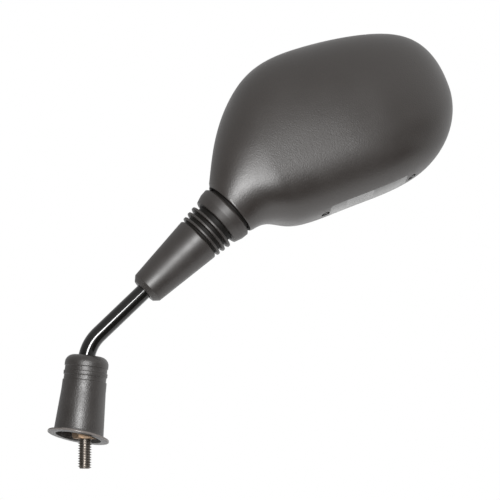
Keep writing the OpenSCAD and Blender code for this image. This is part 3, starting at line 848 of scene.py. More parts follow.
@dataclass
class BaseCover:
    """Rubber cover over the nut, with two grooves at its top and an oblique flange at its foot."""

    top: float = 49.8
    top_d: float = 26.6
    foot_d: float = 30.2
    lean: float = 6.0
    wall: float = 1.5
    flange_d: float = 37.3
    flange_thickness: float = 1.3
    foot: tuple[float, float, float] = (-4.1, 0.0, 0.9)
    flange_tilt: tuple[float, float] = (-8.0, 10.8)
    groove_depth: float = 0.6
    groove_gap: float = 2.9
    land_height: float = 2.4
    groove_step: float = 5.8
    groove_edge: float = 0.2
    grooved_height: float = 21.0
    top_drop: float = 0.4
    lip_drop: float = 0.6
    dome: float = 5.0
    hole_r: float = 5.95
    sides: int = 160

    def axis(self) -> LeaningAxis:
        """Frame of the cover's own leaning axis."""
        return LeaningAxis(self.foot, (0.0, self.lean))

    def flange_axis(self) -> LeaningAxis:
        """Frame of the flange at the foot."""
        return LeaningAxis(self.foot, self.flange_tilt)

    def outer_outline(self) -> list[tuple[float, float]]:
        """Outer outline from above the flange to the top, as (radius, height) on the leaning axis.

        Returns:
            Points from the foot up, the last three of them on the hole's lip.
        """
        height = (self.top - self.foot[2]) / math.cos(math.radians(self.lean)) - self.top_drop
        r, low = self.top_d / 2, height - self.grooved_height
        depth, edge = self.groove_depth, self.groove_edge
        first = low + self.groove_step
        second = first + self.groove_gap + self.land_height
        corners: list[tuple[float, ...]] = [(r, low)]
        for z in (first, second):
            corners += [(r - edge / 2, z, 0.25), (r - depth, z + edge, 0.2), (r - depth, z + self.groove_gap, 0.2),
                        (r - edge, z + self.groove_gap + edge, 0.25)]
        for a in np.linspace(0, 90, 19):
            corners.append((r - edge - self.dome * (1 - math.cos(math.radians(a))),
                            height - self.dome * (1 - math.sin(math.radians(a)))))
        corners += [(self.hole_r + 0.9, height), (self.hole_r + 0.2, height - 0.15),
                    (self.hole_r, height - self.lip_drop)]
        ring = rounded([*corners, (0, height), (0, low)], 4)[:-2]
        return [tuple(p) for p in ring]

    def build(self) -> bpy.types.Object:
        """Makes the cover as one closed skin: flange, outer wall, dome, hole and inner wall.

        Returns:
            The cover as one mesh.
        """
        turn = np.linspace(0, 2 * math.pi, self.sides, endpoint=False)
        cos, sin = np.cos(turn), np.sin(turn)
        axis, flange = self.axis(), self.flange_axis()
        outline = self.outer_outline()
        low_r, low_z = outline[0]
        grow = (self.foot_d / 2 - low_r) / low_z

        def wall_ring(r: float, z: float) -> np.ndarray:
            """Ring of the wall at a height of the leaning axis."""
            return axis.to_row(np.stack([r * cos, r * sin, np.full(self.sides, z)], axis=1))

        def flange_ring(r: float, z: float) -> np.ndarray:
            """Ring of the flange at a height above its lower face."""
            return flange.to_row(np.stack([r * cos, r * sin, np.full(self.sides, z)], axis=1))

        def wall_at_flange(lift: float, inward: float) -> np.ndarray:
            """Ring where the wall passes a height above the flange's lower face.

            Args:
                lift: height above the flange's lower face.
                inward: distance inside the wall's outer face.

            Returns:
                Ring of points.
            """
            normal = flange.to_row(np.array([[0, 0, 1.0]]))[0] - np.array(self.foot)
            origin = np.array(self.foot) + normal * lift
            low = wall_ring(low_r - inward, low_z)
            slope = wall_ring(low_r - inward + grow * low_z, 0.0) - low
            share = ((origin - low) @ normal) / (slope @ normal)
            return low + slope * share[:, None]

        half, thick = self.flange_d / 2, self.flange_thickness
        rings = [flange_ring(half - 0.45, 0.0), flange_ring(half - 0.16, 0.12), flange_ring(half - 0.06, 0.45),
                 flange_ring(half - 0.14, thick - 0.45), flange_ring(half - 0.25, thick - 0.1),
                 flange_ring(half - 0.55, thick)]
        rim = rings[-1]
        near = wall_at_flange(thick, -0.7)
        rings += [rim + (near - rim) * t for t in (0.35, 0.7, 1.0)]
        rings += [wall_at_flange(thick + 0.25, -0.2), wall_at_flange(thick + 0.8, 0.0)]
        upper = wall_ring(low_r, low_z)
        root = rings[-1]
        rings += [root + (upper - root) * t for t in np.linspace(0, 1, 14)[1:-1]]
        rings += [wall_ring(r, z) for r, z in outline[:-3]]
        rings += self._hole_rings(outline)
        inner_top = outline[-1][1] + self.lip_drop - self.dome - 1.0
        inner_r = low_r - self.wall - 0.9
        rings += [wall_ring(inner_r - 3.1, inner_top), wall_ring(inner_r, inner_top - 4), wall_ring(inner_r, low_z)]
        rings += [wall_at_flange(thick, self.wall), wall_at_flange(0.0, self.wall)]
        piece = new_piece("base_cover_rubber", np.concatenate(rings), ring_faces(len(rings), self.sides, closed=True))
        COVER_RUBBER.onto(piece)
        foot = Vector(self.foot)
        # Painted highlight: the flange's rim all round gets the pale finish.
        dress_faces(piece, COVER_PAINTED_HIGHLIGHT,
                    lambda place: place.z < foot.z + 5 and (place - foot).length > self.flange_d / 2 - 0.55)
        return piece

    def _hole_rings(self, outline: Sequence[tuple[float, float]]) -> list[np.ndarray]:
        """Rings of the upright hole for the rod, from the dome down to the hollow.

        Args:
            outline: outer outline, whose last three points are the hole's lip.

        Returns:
            The rings from the outside in.
        """
        turn = np.linspace(0, 2 * math.pi, self.sides, endpoint=False)
        height = outline[-1][1] + self.lip_drop
        tilt = math.radians(self.lean)
        up = np.array([math.sin(tilt), 0.0, math.cos(tilt)])
        origin = np.array(self.foot) + up * height
        rings = []
        for r, drop in ((self.hole_r + 0.9, 0.0), (self.hole_r + 0.25, 0.12), (self.hole_r, self.lip_drop),
                        (self.hole_r, self.dome + 0.4)):
            flat = np.stack([r * np.cos(turn), r * np.sin(turn), np.zeros(self.sides)], axis=1)
            rise = ((origin - up * drop - flat) @ up) / up[2]
            rings.append(flat + np.outer(rise, [0, 0, 1.0]))
        return rings

    def dress(self) -> list[bpy.types.Object]:
        """Builds the cover and puts it on its body.

        Returns:
            The new piece, in a list.
        """
        piece = self.build()
        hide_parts("base_cover")
        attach(piece, "cover")
        return [piece]


# The gaiter


@dataclass
class Gaiter:
    """Rubber moulding over the ball joint: a cone, a short bellows and a collar. Heights along the leg."""

    leg: Leg
    rod_d: float = 10.0
    length: float = 71.0
    foot_d: float = 21.4
    cone_top_d: float = 29.4
    collar_d: float = 37.0
    wall: float = 2.2
    ridge_count: int = 3
    ridge_pitch: float = 3.9
    ridge_thickness: float = 1.4
    bellows_wall: float = 1.6
    bend_reach: float = 15.0
    neck_drop: float = 9.8
    neck_gap: float = 1.6
    neck_d: float = 36.8
    shell_wall: float = 2.5
    collar_height: float = 10.1
    collar_base_r: float = 16.6
    groove_r: float = 12.8
    first_ridge: float = 2.4
    bellows_room: float = 2.9
    grip_length: float = 14.0
    foot_chamfer: float = 3.0
    sides: int = 144

    @property
    def top(self) -> float:
        """Height of the collar's upper face."""
        return -self.neck_drop - self.neck_gap

    @property
    def foot(self) -> float:
        """Height of the lower end."""
        return self.top - self.length

    @property
    def collar_low(self) -> float:
        """Height of the collar's lower face."""
        return self.top - self.collar_height

    @property
    def cone_end(self) -> float:
        """Height of the cone's upper end."""
        return self.top - self.collar_height - self.ridge_count * self.ridge_pitch - self.bellows_room

    @property
    def split(self) -> float:
        """Height where the lower and the upper piece meet, just under the collar."""
        return self.collar_low - 0.6

    @property
    def inner_r(self) -> float:
        """Inner radius of the bellows, which leaves the rod room when the ball joint tilts."""
        return self.groove_r - self.bellows_wall

    def lower(self) -> bpy.types.Object:
        """Makes the cone, the grip on the rod and the bellows with its ridges.

        Returns:
            The lower piece.
        """
        foot_r, cone_r = self.foot_d / 2, self.cone_top_d / 2
        inner = self.inner_r
        outline = rounded([
            (self.rod_d / 2 + 0.05, self.foot, 0.2), (foot_r - 2.7, self.foot, 0.5),
            (foot_r, self.foot + self.foot_chamfer, 0.9), (cone_r, self.cone_end - 0.8, 0.7),
            (cone_r - 0.8, self.cone_end, 0.5),
            (self.groove_r, self.cone_end + 0.25, 0.2), (self.groove_r, self.split), (inner, self.split),
            (inner, self.cone_end, 1.0), (self.rod_d / 2 + 3, self.foot + self.grip_length + 4, 1.0),
            (self.rod_d / 2 + 0.05, self.foot + self.grip_length, 0.5),
        ])
        tube = lathe("gaiter_lower", subdivided(outline, 2.2), self.leg.to_row, self.sides, 50.0)
        GAITER_RUBBER.onto(tube)
        # Painted shade: the bellows' valleys between the ridges and the inside above the cone get the near-black
        # finish.
        dress_faces(tube, PAINTED_SHADE_RUBBER, lambda place: self.leg.height_of(place) > self.cone_end + 0.1)
        return join("gaiter_lower", [tube, self.ridges()], 50.0)

    def upper(self) -> bpy.types.Object:
        """Makes the collar and the spigot inside the neck.

        Returns:
            The upper piece.
        """
        inner = self.inner_r
        collar_r = self.collar_d / 2
        spigot_r = self.neck_d / 2 - self.shell_wall - 0.8
        outline = rounded([
            (self.groove_r, self.split), (self.groove_r, self.collar_low - 0.3, 0.3),
            (self.collar_base_r - 0.1, self.collar_low, 0.5),
            (collar_r - 0.4, self.top - 0.55 * self.collar_height, 4.0),
            (collar_r, self.top - 1.2, 0.8), (collar_r - 1.2, self.top, 0.8), (spigot_r, self.top),
            (spigot_r, self.top + self.neck_gap + 1.8, 0.4),
            (spigot_r - self.wall, self.top + self.neck_gap + 1.8, 0.4),
            (spigot_r - self.wall, self.top - 3, 1.0), (inner, self.collar_low, 1.0), (inner, self.split),
        ])
        tube = lathe("gaiter_upper", subdivided(outline, 1.5), self.leg.to_row, self.sides, 50.0)
        GAITER_RUBBER.onto(tube)
        # Painted shade: the valley under the collar and the spigot in the gap below the neck get the near-black
        # finish.
        for low, high in ((self.split - 1, self.collar_low - 0.2), (self.top - 0.05, self.top + self.neck_gap + 3)):
            dress_faces(tube, PAINTED_SHADE_RUBBER, lambda place: low < self.leg.height_of(place) < high)
        return tube

    def ridges(self) -> bpy.types.Object:
        """Repeats one thin ring along the bellows with Geometry Nodes.

        Returns:
            The rings as one mesh.
        """
        half = self.ridge_thickness / 2
        radius = self.cone_top_d / 2 + 0.5
        outline = rounded([(self.groove_r - 0.6, -half - 0.45), (self.groove_r + 0.3, -half - 0.25, 0.3),
                           (radius, -half, 0.4), (radius, half, 0.4), (self.groove_r + 0.3, half + 0.25, 0.3),
                           (self.groove_r - 0.6, half + 0.45)])
        ring = lathe("gaiter_ridges", outline, lambda p: p, self.sides, 50.0)
        tree = NodeTree("gaiter_ridges_nodes")
        for size in ("Pitch", "First Height", "Growth"):
            tree.size(size)
        tree.size("Count", "NodeSocketInt")
        line = tree.add("GeometryNodeMeshLine", mode="OFFSET")
        step = tree.add("ShaderNodeCombineXYZ")
        start = tree.add("ShaderNodeCombineXYZ")
        tree.link(tree.entry.outputs["Pitch"], step.inputs["Z"])
        tree.link(tree.entry.outputs["First Height"], start.inputs["Z"])
        tree.link(tree.entry.outputs["Count"], line.inputs["Count"])
        tree.link(step.outputs[0], line.inputs["Offset"])
        tree.link(start.outputs[0], line.inputs["Start Location"])
        number = tree.add("GeometryNodeInputIndex")
        wider = tree.maths("MULTIPLY", number.outputs[0], tree.entry.outputs["Growth"])
        wide = tree.maths("ADD", wider, 1.0)
        scale = tree.add("ShaderNodeCombineXYZ")
        tree.link(wide, scale.inputs["X"])
        tree.link(wide, scale.inputs["Y"])
        scale.inputs["Z"].default_value = 1.0
        copies = tree.add("GeometryNodeInstanceOnPoints")
        tree.link(line.outputs["Mesh"], copies.inputs["Points"])
        tree.link(tree.entry.outputs["Geometry"], copies.inputs["Instance"])
        tree.link(scale.outputs[0], copies.inputs["Scale"])
        tree.finish(copies.outputs[0], GAITER_RUBBER.material())
        growth = 0.45 / radius
        tree.build(ring, {
            "Pitch": self.ridge_pitch * MM, "Count": self.ridge_count, "Growth": growth,
            "First Height": (self.cone_end + self.first_ridge) * MM,
        })
        places = np.array([v.co[:] for v in ring.data.vertices]) / MM
        ring.data.vertices.foreach_set("co", (self.leg.to_row(places) * MM).ravel())
        return ring

    def dress(self) -> list[bpy.types.Object]:
        """Builds both pieces, hides the imported gaiter and bakes each piece's place into its mesh.

        Returns:
            The new pieces.
        """
        lower, upper = self.lower(), self.upper()
        grip, middle, collar = (self.leg.to_row(np.array([[0, 0, z]]))[0] * MM
                                for z in (self.cone_end - self.bend_reach, self.split, self.top - 1.5))
        for piece in (lower, upper):
            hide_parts("stem_gaiter")
        tuple(grip)
        tuple(middle)
        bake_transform(lower)
        tuple(middle)
        tuple(collar)
        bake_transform(upper)
        return [lower, upper]


# The housing


@dataclass
class HeadForm:
    """Form of the head in its own plane: u runs along its long side and v to its top, in millimetres."""

    leg: Leg
    length: float = 160.0
    height: float = 107.0
    depth: float = 40.0
    neck_d: float = 36.8
    angle: float = 24.5
    neck_drop: float = 9.8
    front_y: float = 18.0
    crest_share: float = 0.62
    upper_power: float = 2.3
    lower_power: float = 2.5
    tip_round: float = 75.0
    tip_power: float = 2.2
    neck_blend: float = 0.31
    tip_at: float = 5.6
    glass_start: float = 1.35
    glass_end: float = 10.1
    closing_reach: float = 0.17
    corner_points: int = 5
    back_points: int = 90
    front_points: int = 30
    stations: int = 120
    station_shares: tuple[float, float] = (0.45, 0.55)
    station_power: float = 2.2
    shares: tuple[tuple[float, float], ...] = (
        (0.047, 0.458), (0.241, 0.776), (0.481, 0.794), (0.778, 0.743), (0.984, 0.607), (1.022, 0.131),
        (0.803, -0.192), (0.475, -0.196), (0.325, -0.211), (0.212, -0.204), (0.125, -0.131),
    )

    def __post_init__(self) -> None:
        """Works out the control points of the outline, with one more beyond each end."""
        turn = math.radians(self.angle)
        corner = self.neck_d / 2 * np.array([-math.sin(turn), math.cos(turn)])
        steer = np.array([corner, *[(x * self.length, y * self.height) for x, y in self.shares], -corner])
        self.steer = np.vstack([2 * steer[0] - steer[1], steer, 2 * steer[-1] - steer[-2]])
        self.last = len(steer) - 1

    def outline(self, u: np.ndarray | float) -> np.ndarray:
        """Points of the outline at u, from 0 at the neck's upper corner to `last` at its lower one.

        Args:
            u: one place or several.

        Returns:
            n by 2 points of the head's plane.
        """
        u = np.atleast_1d(np.asarray(u, float))
        i = np.clip(np.floor(u).astype(int), 0, self.last - 1)
        t = (u - i)[:, None]
        s = self.steer
        return ((1 - t) ** 3 * s[i] + (3 * t**3 - 6 * t * t + 4) * s[i + 1]
                + (-3 * t**3 + 3 * t * t + 3 * t + 1) * s[i + 2] + t**3 * s[i + 3]) / 6

    def way(self, u: np.ndarray | float) -> np.ndarray:
        """Unit vectors along the outline at u.

        Args:
            u: one place or several.

        Returns:
            n by 2 vectors.
        """
        u = np.atleast_1d(np.asarray(u, float))
        step = self.outline(np.clip(u + 0.01, 0, self.last)) - self.outline(np.clip(u - 0.01, 0, self.last))
        return step / np.linalg.norm(step, axis=1)[:, None]

    def inset(self, u: np.ndarray | float, distance: float) -> np.ndarray:
        """Points of the outline moved inwards by a distance."""
        way = self.way(u)
        return self.outline(u) + distance * np.stack([way[:, 1], -way[:, 0]], axis=1)

    def to_leg(self, places: np.ndarray, y: np.ndarray | float) -> np.ndarray:
        """Moves points of the head's plane, at depth y, to the leg's frame.

        Args:
            places: n by 2 points of the head's plane.
            y: depth of each, or one depth.

        Returns:
            n by 3 points.
        """
        turn = math.radians(self.angle)
        p = np.atleast_2d(places)
        return np.stack([
            p[:, 0] * math.sin(turn) - p[:, 1] * math.cos(turn),
            np.broadcast_to(y, (len(p),)).astype(float),
            p[:, 0] * math.cos(turn) + p[:, 1] * math.sin(turn) - self.neck_drop,
        ], axis=1)

    def to_row(self, places: np.ndarray, y: np.ndarray | float) -> np.ndarray:
        """Moves points of the head's plane, at depth y, to the frame of the whole part."""
        return self.leg.to_row(self.to_leg(places, y))

    def opening(self, inset: float, steps: int = GLASS_STEPS) -> np.ndarray:
        """Closed outline of the glass opening, moved inwards, with even steps.

        Args:
            inset: distance inwards from the housing's outline.
            steps: number of points.

        Returns:
            steps by 2 points.
        """
        free = self.inset(np.linspace(self.glass_start, self.glass_end, 900), inset)
        a, b = free[-1], free[0]
        a_way, b_way = self.way(self.glass_end)[0], self.way(self.glass_start)[0]
        reach = self.closing_reach * np.linalg.norm(b - a)
        t = np.linspace(0, 1, 160)[1:-1, None]
        beside = ((1 - t) ** 3 * a + 3 * t * (1 - t) ** 2 * (a + reach * a_way)
                  + 3 * t * t * (1 - t) * (b - reach * b_way) + t**3 * b)
        loop = np.vstack([free, beside, free[:1]])
        along = np.concatenate([[0], np.cumsum(np.linalg.norm(np.diff(loop, axis=0), axis=1))])
        even = np.linspace(0, along[-1], steps, endpoint=False)
        return np.stack([np.interp(even, along, loop[:, k]) for k in (0, 1)], axis=1)

    def back_depth(self, from_tip: float) -> float:
        """Depth of the back behind the front plane as a share, from the distance to the tip."""
        share = min(max(from_tip / self.tip_round, 0.0), 1.0)
        return (1 - (1 - share) ** self.tip_power) ** (1 / self.tip_power)

    def section(self, t: float, wall: float, edge: float) -> np.ndarray:
        """One section of the head: a circle at the neck that turns into a flat-fronted section.

        Args:
            t: place along the head, 0 at the neck and 1 at the tip.
            wall: distance inside the outer surface.
            edge: rounding of the front edge.

        Returns:
            Ring of points in the leg's frame.
        """
        top = self.inset(self.tip_at * t, wall)[0]
        low = self.inset(self.last - (self.last - self.tip_at) * t, wall)[0]
        tip = self.inset(self.tip_at, wall)[0]
        width = float(np.linalg.norm(low - top))
        depth = (self.depth - 2 * wall) * self.back_depth(float((tip - (top + low) / 2)[0]))
        edge = min(edge, 0.3 * depth, 0.3 * width)
        blend = smooth_step(t / self.neck_blend)
        corner = np.linspace(0, math.pi / 2, self.corner_points + 1)[1:]
        first = math.asin((edge / depth) ** (self.upper_power / 2))
        last = math.asin((edge / depth) ** (self.lower_power / 2))
        back = np.linspace(first, math.pi - last, self.back_points + 2)[1:-1]
        rising, falling = back[back <= math.pi / 2], back[back > math.pi / 2]
        inward = edge * (1 - np.sin(corner)) / width
        drop = edge * (1 - np.cos(corner))
        front = np.linspace(1 - edge / width, edge / width, self.front_points)
        place = np.concatenate([
            inward, self.crest_share * (1 - np.cos(rising) ** (2 / self.upper_power)),
            self.crest_share + (1 - self.crest_share) * (-np.cos(falling)) ** (2 / self.lower_power),
            1 - inward[::-1], front,
        ])
        down = np.concatenate([
            drop, depth * np.sin(rising) ** (2 / self.upper_power),
            depth * np.sin(falling) ** (2 / self.lower_power), drop[::-1], np.zeros(self.front_points),
        ])
        turn = np.radians(np.concatenate([
            np.linspace(1, 6, self.corner_points), np.linspace(7, 173, self.back_points),
            np.linspace(174, 179, self.corner_points), np.linspace(185, 355, self.front_points),
        ]))
        radius = self.neck_d / 2 - wall
        place = (1 - blend) * (1 - np.cos(turn)) / 2 + blend * place
        y = (1 - blend) * -radius * np.sin(turn) + blend * (self.front_y - wall - down)
        return self.to_leg(top + place[:, None] * (low - top), y)

    def solid(self, name: str, wall: float, edge: float, cut_below: float) -> bpy.types.Object:
        """Closed solid of the head, a wall inside its outer surface.

        Args:
            name: name of the piece.
            wall: distance inside the outer surface.
            edge: rounding of the front edge and of the neck's end.
            cut_below: how far the neck goes on below its end.

        Returns:
            The piece.
        """
        s = np.linspace(0, 1, self.stations)[:-1]
        even, crowded = self.station_shares
        stations = even * s + crowded * (1 - (1 - s) ** self.station_power)
        stations = stations[stations > 0.012] if cut_below == 0 else stations
        rings = [self.section(float(t), wall, edge) for t in stations]
        end = self.section(0.0, wall, edge)
        if cut_below > 0:
            rings.insert(0, end - np.array([0, 0, cut_below]))
        else:
            for angle in (math.radians(90), math.radians(60), math.radians(30), 0.0):
                shrink = 1 - edge * 0.6 * (1 - math.sin(angle)) / (self.neck_d / 2)
                ring = end * np.array([shrink, shrink, 1.0])
                ring[:, 2] += edge * 0.6 * (1 - math.cos(angle))
                rings.insert(0, ring)
        tip = self.to_leg(self.inset(self.tip_at, wall), self.front_y - wall)
        sides, count = len(rings[0]), len(rings)
        points = self.leg.to_row(np.concatenate([*rings, tip]))
        faces: list[tuple[int, ...]] = list(ring_faces(count, sides))
        faces.append(tuple(range(sides)))
        faces += [((count - 1) * sides + k, (count - 1) * sides + (k + 1) % sides, count * sides)
                  for k in range(sides)]
        return new_piece(name, points, faces)

    def slab(self, name: str, shape: np.ndarray, low: float, high: float) -> bpy.types.Object:
        """Flat shape of the head's plane between two depths.

        Args:
            name: name of the piece.
            shape: closed outline in the head's plane.
            low: depth of its back.
            high: depth of its front.

        Returns:
            The piece.
        """
        count = len(shape)
        points = np.concatenate([self.to_row(shape, low), self.to_row(shape, high)])
        faces: list[tuple[int, ...]] = list(ring_faces(2, count))
        faces += [tuple(range(count)), tuple(range(2 * count - 1, count - 1, -1))]
        return new_piece(name, points, faces)

    def underside(self, distance: float) -> float:
        """Height of the outline's lower side at a distance along the head.

        Args:
            distance: distance from the neck's end.

        Returns:
            Height in the head's plane.
        """
        u = np.linspace(self.tip_at, self.last, 4000)
        side = self.outline(u)
        return float(np.interp(-distance, -side[:, 0], side[:, 1]))


@dataclass
class FrontStack:
    """Depths of the pieces behind the glass opening, from the front back."""

    form: HeadForm
    glass_thickness: float = 2.0
    glass_radius: float = 1200.0
    foam_thickness: float = 1.2
    plate_sheet: float = 1.6

    @property
    def frame_front(self) -> float:
        """Depth of the frame's front face."""
        return self.form.front_y - 0.9

    @property
    def glass_front(self) -> float:
        """Depth of the glass's front at its middle."""
        return self.frame_front - 0.5

    @property
    def foam_back(self) -> float:
        """Depth of the foam pad's flat back."""
        sag = self.glass_radius - math.sqrt(self.glass_radius**2 - (self.form.length / 2) ** 2)
        return self.glass_front - self.glass_thickness - sag - self.foam_thickness

    @property
    def plate_back(self) -> float:
        """Depth of the back of the frame's plate."""
        return self.foam_back - self.plate_sheet


@dataclass
class Housing:
    """Moulded shell of the head with its neck, its lip, the two snap windows and the smooth strip between."""

    form: HeadForm
    stack: FrontStack
    wall: float = 2.5
    lip_width: float = 3.4
    edge: float = 1.3
    window_shares: tuple[float, float] = (0.35, 0.719)
    window_width: float = 5.0
    window_depth: float = 5.0
    window_reach: float = 12.0
    strip_front: float = 15.5
    strip_back: float = -1.5
    strip_depths: tuple[float, float] = (0.05, 2.8)
    strip_margin: float = 2.7
    strip_fade: float = 1.2
    strip_steps: int = 60
    skin_gap: float = 0.03

    @property
    def window_y(self) -> float:
        """Depth of the windows' middle."""
        return self.stack.plate_back - self.window_depth / 2

    def window_u(self, number: int) -> float:
        """Distance along the head of window 0, nearer to the neck, or window 1."""
        return self.window_shares[number] * self.form.length

    def arch(self, number: int, margin: float, low: float, high: float, name: str) -> bpy.types.Object:
        """Upright block with the shape of a snap window, rounded at its back end.

        Args:
            number: 0 for the window nearer to the neck, 1 for the other.
            margin: how much smaller than the window it is.
            low: its lower end, from the outline's lower side.
            high: its upper end.
            name: name of the block.

        Returns:
            The block.
        """
        u = self.window_u(number)
        v = self.form.underside(u)
        half, stand = self.window_width / 2 - margin, self.window_depth / 2
        arc = [(half * math.cos(a), self.window_width / 2 - stand + half * math.sin(a))
               for a in np.linspace(-math.pi, 0, 24)]
        flat = np.array([(half, stand + 0.5), (-half, stand + 0.5), *arc])
        count = len(flat)
        points = np.concatenate([
            self.form.to_row(np.array([(u + x, v + level) for x, _ in flat]), self.window_y + flat[:, 1])
            for level in (low, high)
        ])
        faces: list[tuple[int, ...]] = list(ring_faces(2, count))
        faces += [tuple(range(count)), tuple(range(2 * count - 1, count - 1, -1))]
        return new_piece(name, points, faces)

    def strip(self) -> bpy.types.Object:
        """Cutter of the smooth flat strip between the windows.

        Returns:
            The closed cutter.
        """
        start, end = self.window_u(0) + self.strip_margin, self.window_u(1) - self.strip_margin
        front, back = self.strip_depths
        rings = []
        for u in np.linspace(start, end, self.strip_steps):
            low = self.form.underside(float(u))
            deep = front + (back - front) * smooth_step(min(u - start, end - u) / self.strip_fade)
            rings.append(self.form.to_row(
                np.array([(u, low + front), (u, low + deep), (u, low - 2.5), (u, low - 2.5)]),
                np.array([self.strip_front, self.strip_back, self.strip_back, self.strip_front]),
            ))
        last = 4 * self.strip_steps - 1
        faces: list[tuple[int, ...]] = list(ring_faces(self.strip_steps, 4))
        faces += [(0, 1, 2, 3), (last, last - 1, last - 2, last - 3)]
        return STRIP_PLASTIC.onto(new_piece("strip_cutter", np.concatenate(rings), faces))

    def shell(self) -> bpy.types.Object:
        """Hollows the head's form and cuts the glass opening and the windows.

        Returns:
            The shell.
        """
        body = self.form.solid("housing_skin", self.skin_gap, self.edge, 0.0)
        hollow = self.form.solid("housing_hollow", self.wall, 0.8, 4.0)
        opening = self.form.slab("housing_opening", self.form.opening(self.lip_width), self.form.front_y - 5,
                                 self.form.front_y + 1)
        reach = self.window_reach / 2
        windows = [self.arch(k, 0.0, -reach, reach, f"window_cutter_{k}") for k in (0, 1)]
        cutters = [hollow, opening, *windows, self.strip()]
        for piece in (body, hollow, opening):
            HOUSING_PLASTIC.onto(piece)
        # The window cutters carry painted shade, a near-black finish, onto the window walls that they cut.
        for piece in windows:
            PAINTED_SHADE_PLASTIC.onto(piece)
        shell = cut(body, cutters, 32.0)
        # Painted shade: the neck's end face, in the collar's shade, gets the near-black finish.
        neck_end = 0.25 - self.form.neck_drop
        dress_faces(shell, PAINTED_SHADE_PLASTIC, lambda place: self.form.leg.height_of(place) < neck_end)
        return shell

    def dress(self) -> list[bpy.types.Object]:
        """Builds the shell and dresses the clamp, its screws and washers inside the neck.

        Returns:
            The new pieces.
        """
        piece = self.shell()
        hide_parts("housing_shell")
        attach(piece, "head")
        LINER_NYLON.onto_node("ball_liner")
        CUP_STEEL.onto_node("socket_cup")
        CLAMP_PLASTIC.onto_node("socket_base")
        CLAMP_PLASTIC.onto_node("clamp_cap")
        for number in (1, 2, 3):
            SCREW_ZINC.onto_node(f"clamp_screw_{number}")
            CUP_STEEL.onto_node(f"spring_washer_{number}")
        return [piece]


# The glass and its frame


@dataclass
class Glass:
    """The carrier frame with its hooks, and the convex glass on its foam pad."""

    form: HeadForm
    housing: Housing
    stack: FrontStack
    frame_edge: float = 2.2
    fit_gap: float = 0.3
    peg_gap: float = 0.9
    peg_lift: float = 0.4
    hook_root: float = 5.0

    @property
    def middle(self) -> np.ndarray:
        """Place of the glass's highest point in the head's plane."""
        return np.array([self.form.length * 0.49, self.form.height * 0.28])

    def frame_piece(self) -> bpy.types.Object:
        """Makes the plate with its raised edge and its two hooks.

        Returns:
            The carrier as one piece.
        """
        out = self.housing.lip_width + self.fit_gap
        back, front = self.stack.plate_back, self.stack.frame_front
        outline = rounded([(out + 9.0, self.stack.foam_back), (out + 9.0, back), (out, back, 0.5), (out, front, 0.9),
                           (out + self.frame_edge, front, 0.7), (out + self.frame_edge, self.stack.foam_back, 0.3)], 5)
        rings = [self.form.to_row(self.form.opening(float(inset)), float(y)) for inset, y in outline]
        rim = new_piece("glass_rim", np.concatenate(rings), ring_faces(len(rings), GLASS_STEPS, closed=True))
        plate = self.form.slab("glass_plate", self.form.opening(out + 8.0), back, self.stack.foam_back)
        pieces = [rim, plate]
        for number in (0, 1):
            u = self.housing.window_u(number)
            low = self.form.underside(u) + self.housing.wall + 4 * self.fit_gap
            half = self.housing.window_width / 2 - self.peg_gap
            root = np.array([(u - half, low), (u + half, low), (u + half, low + self.hook_root),
                             (u - half, low + self.hook_root)])
            pieces.append(self.form.slab(f"hook_leg_{number}", root, self.housing.window_y,
                                         back + self.stack.plate_sheet / 2))
            pieces.append(self.housing.arch(number, self.peg_gap, self.peg_lift + 0.5,
                                            self.housing.wall + 1.5, f"hook_peg_{number}"))
        for piece in pieces:
            FRAME_PLASTIC.onto(piece)
        return join("glass_carrier", pieces)

    def glass(self) -> bpy.types.Object:
        """Makes the convex glass with its ground edge as rings round its middle.

        Returns:
            The glass.
        """
        inset = self.housing.lip_width + self.frame_edge + 2 * self.fit_gap
        edge = self.form.opening(inset)
        short = self.form.opening(inset + 0.35)
        rings: list[np.ndarray] = []
        shares = np.linspace(0, 1, 40)[1:]

        def ring(shape: np.ndarray, share: float, depth: float) -> np.ndarray:
            """Ring of the convex surface at a share of the way out, behind the front by a depth.

            Args:
                shape: outline of the glass.
                share: share of the way from the middle to the outline.
                depth: depth behind the front surface.

            Returns:
                Ring of points.
            """
            flat = self.middle + (shape - self.middle) * share
            reach = np.linalg.norm(flat - self.middle, axis=1)
            radius = self.stack.glass_radius - depth
            centre = self.stack.glass_front - self.stack.glass_radius
            return self.form.to_row(flat, centre + np.sqrt(radius**2 - reach**2))

        rings += [ring(short, float(s), 0.0) for s in shares]
        rings += [ring(edge, 1.0, 0.35), ring(edge, 1.0, self.stack.glass_thickness)]
        rings += [ring(edge, float(s), self.stack.glass_thickness) for s in shares[::-1][1:]]
        count, sides = len(rings), GLASS_STEPS
        front = self.form.to_row(self.middle[None], self.stack.glass_front)
        back = self.form.to_row(self.middle[None], self.stack.glass_front - self.stack.glass_thickness)
        faces: list[tuple[int, ...]] = list(ring_faces(count, sides))
        faces += [(k, (k + 1) % sides, count * sides) for k in range(sides)]
        faces += [((count - 1) * sides + (k + 1) % sides, (count - 1) * sides + k, count * sides + 1)
                  for k in range(sides)]
        piece = new_piece("convex_glass", np.concatenate([*rings, front, back]), faces, 20.0)
        piece.data.materials.append(MIRROR_SILVER.material())
        piece.data.materials.append(GLASS_EDGE.material())
        edge_ring = len(shares) - 1
        for number, face in enumerate(piece.data.polygons):
            ring_number = number // sides
            face.material_index = 1 if edge_ring <= ring_number < count - 1 else 0
        return piece

    def dress(self) -> list[bpy.types.Object]:
        """Builds the frame and the glass and puts them on the head.

        Returns:
            The new pieces.
        """
        carrier, glass = self.frame_piece(), self.glass()
        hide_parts("glass_frame")
        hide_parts("mirror_glass")
        for piece, slot in ((carrier, "frame_plastic"), (glass, "mirror_glass")):
            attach(piece, "head")
        PAD_FOAM.onto_node("foam_pad")
        return [carrier, glass]


# The studio


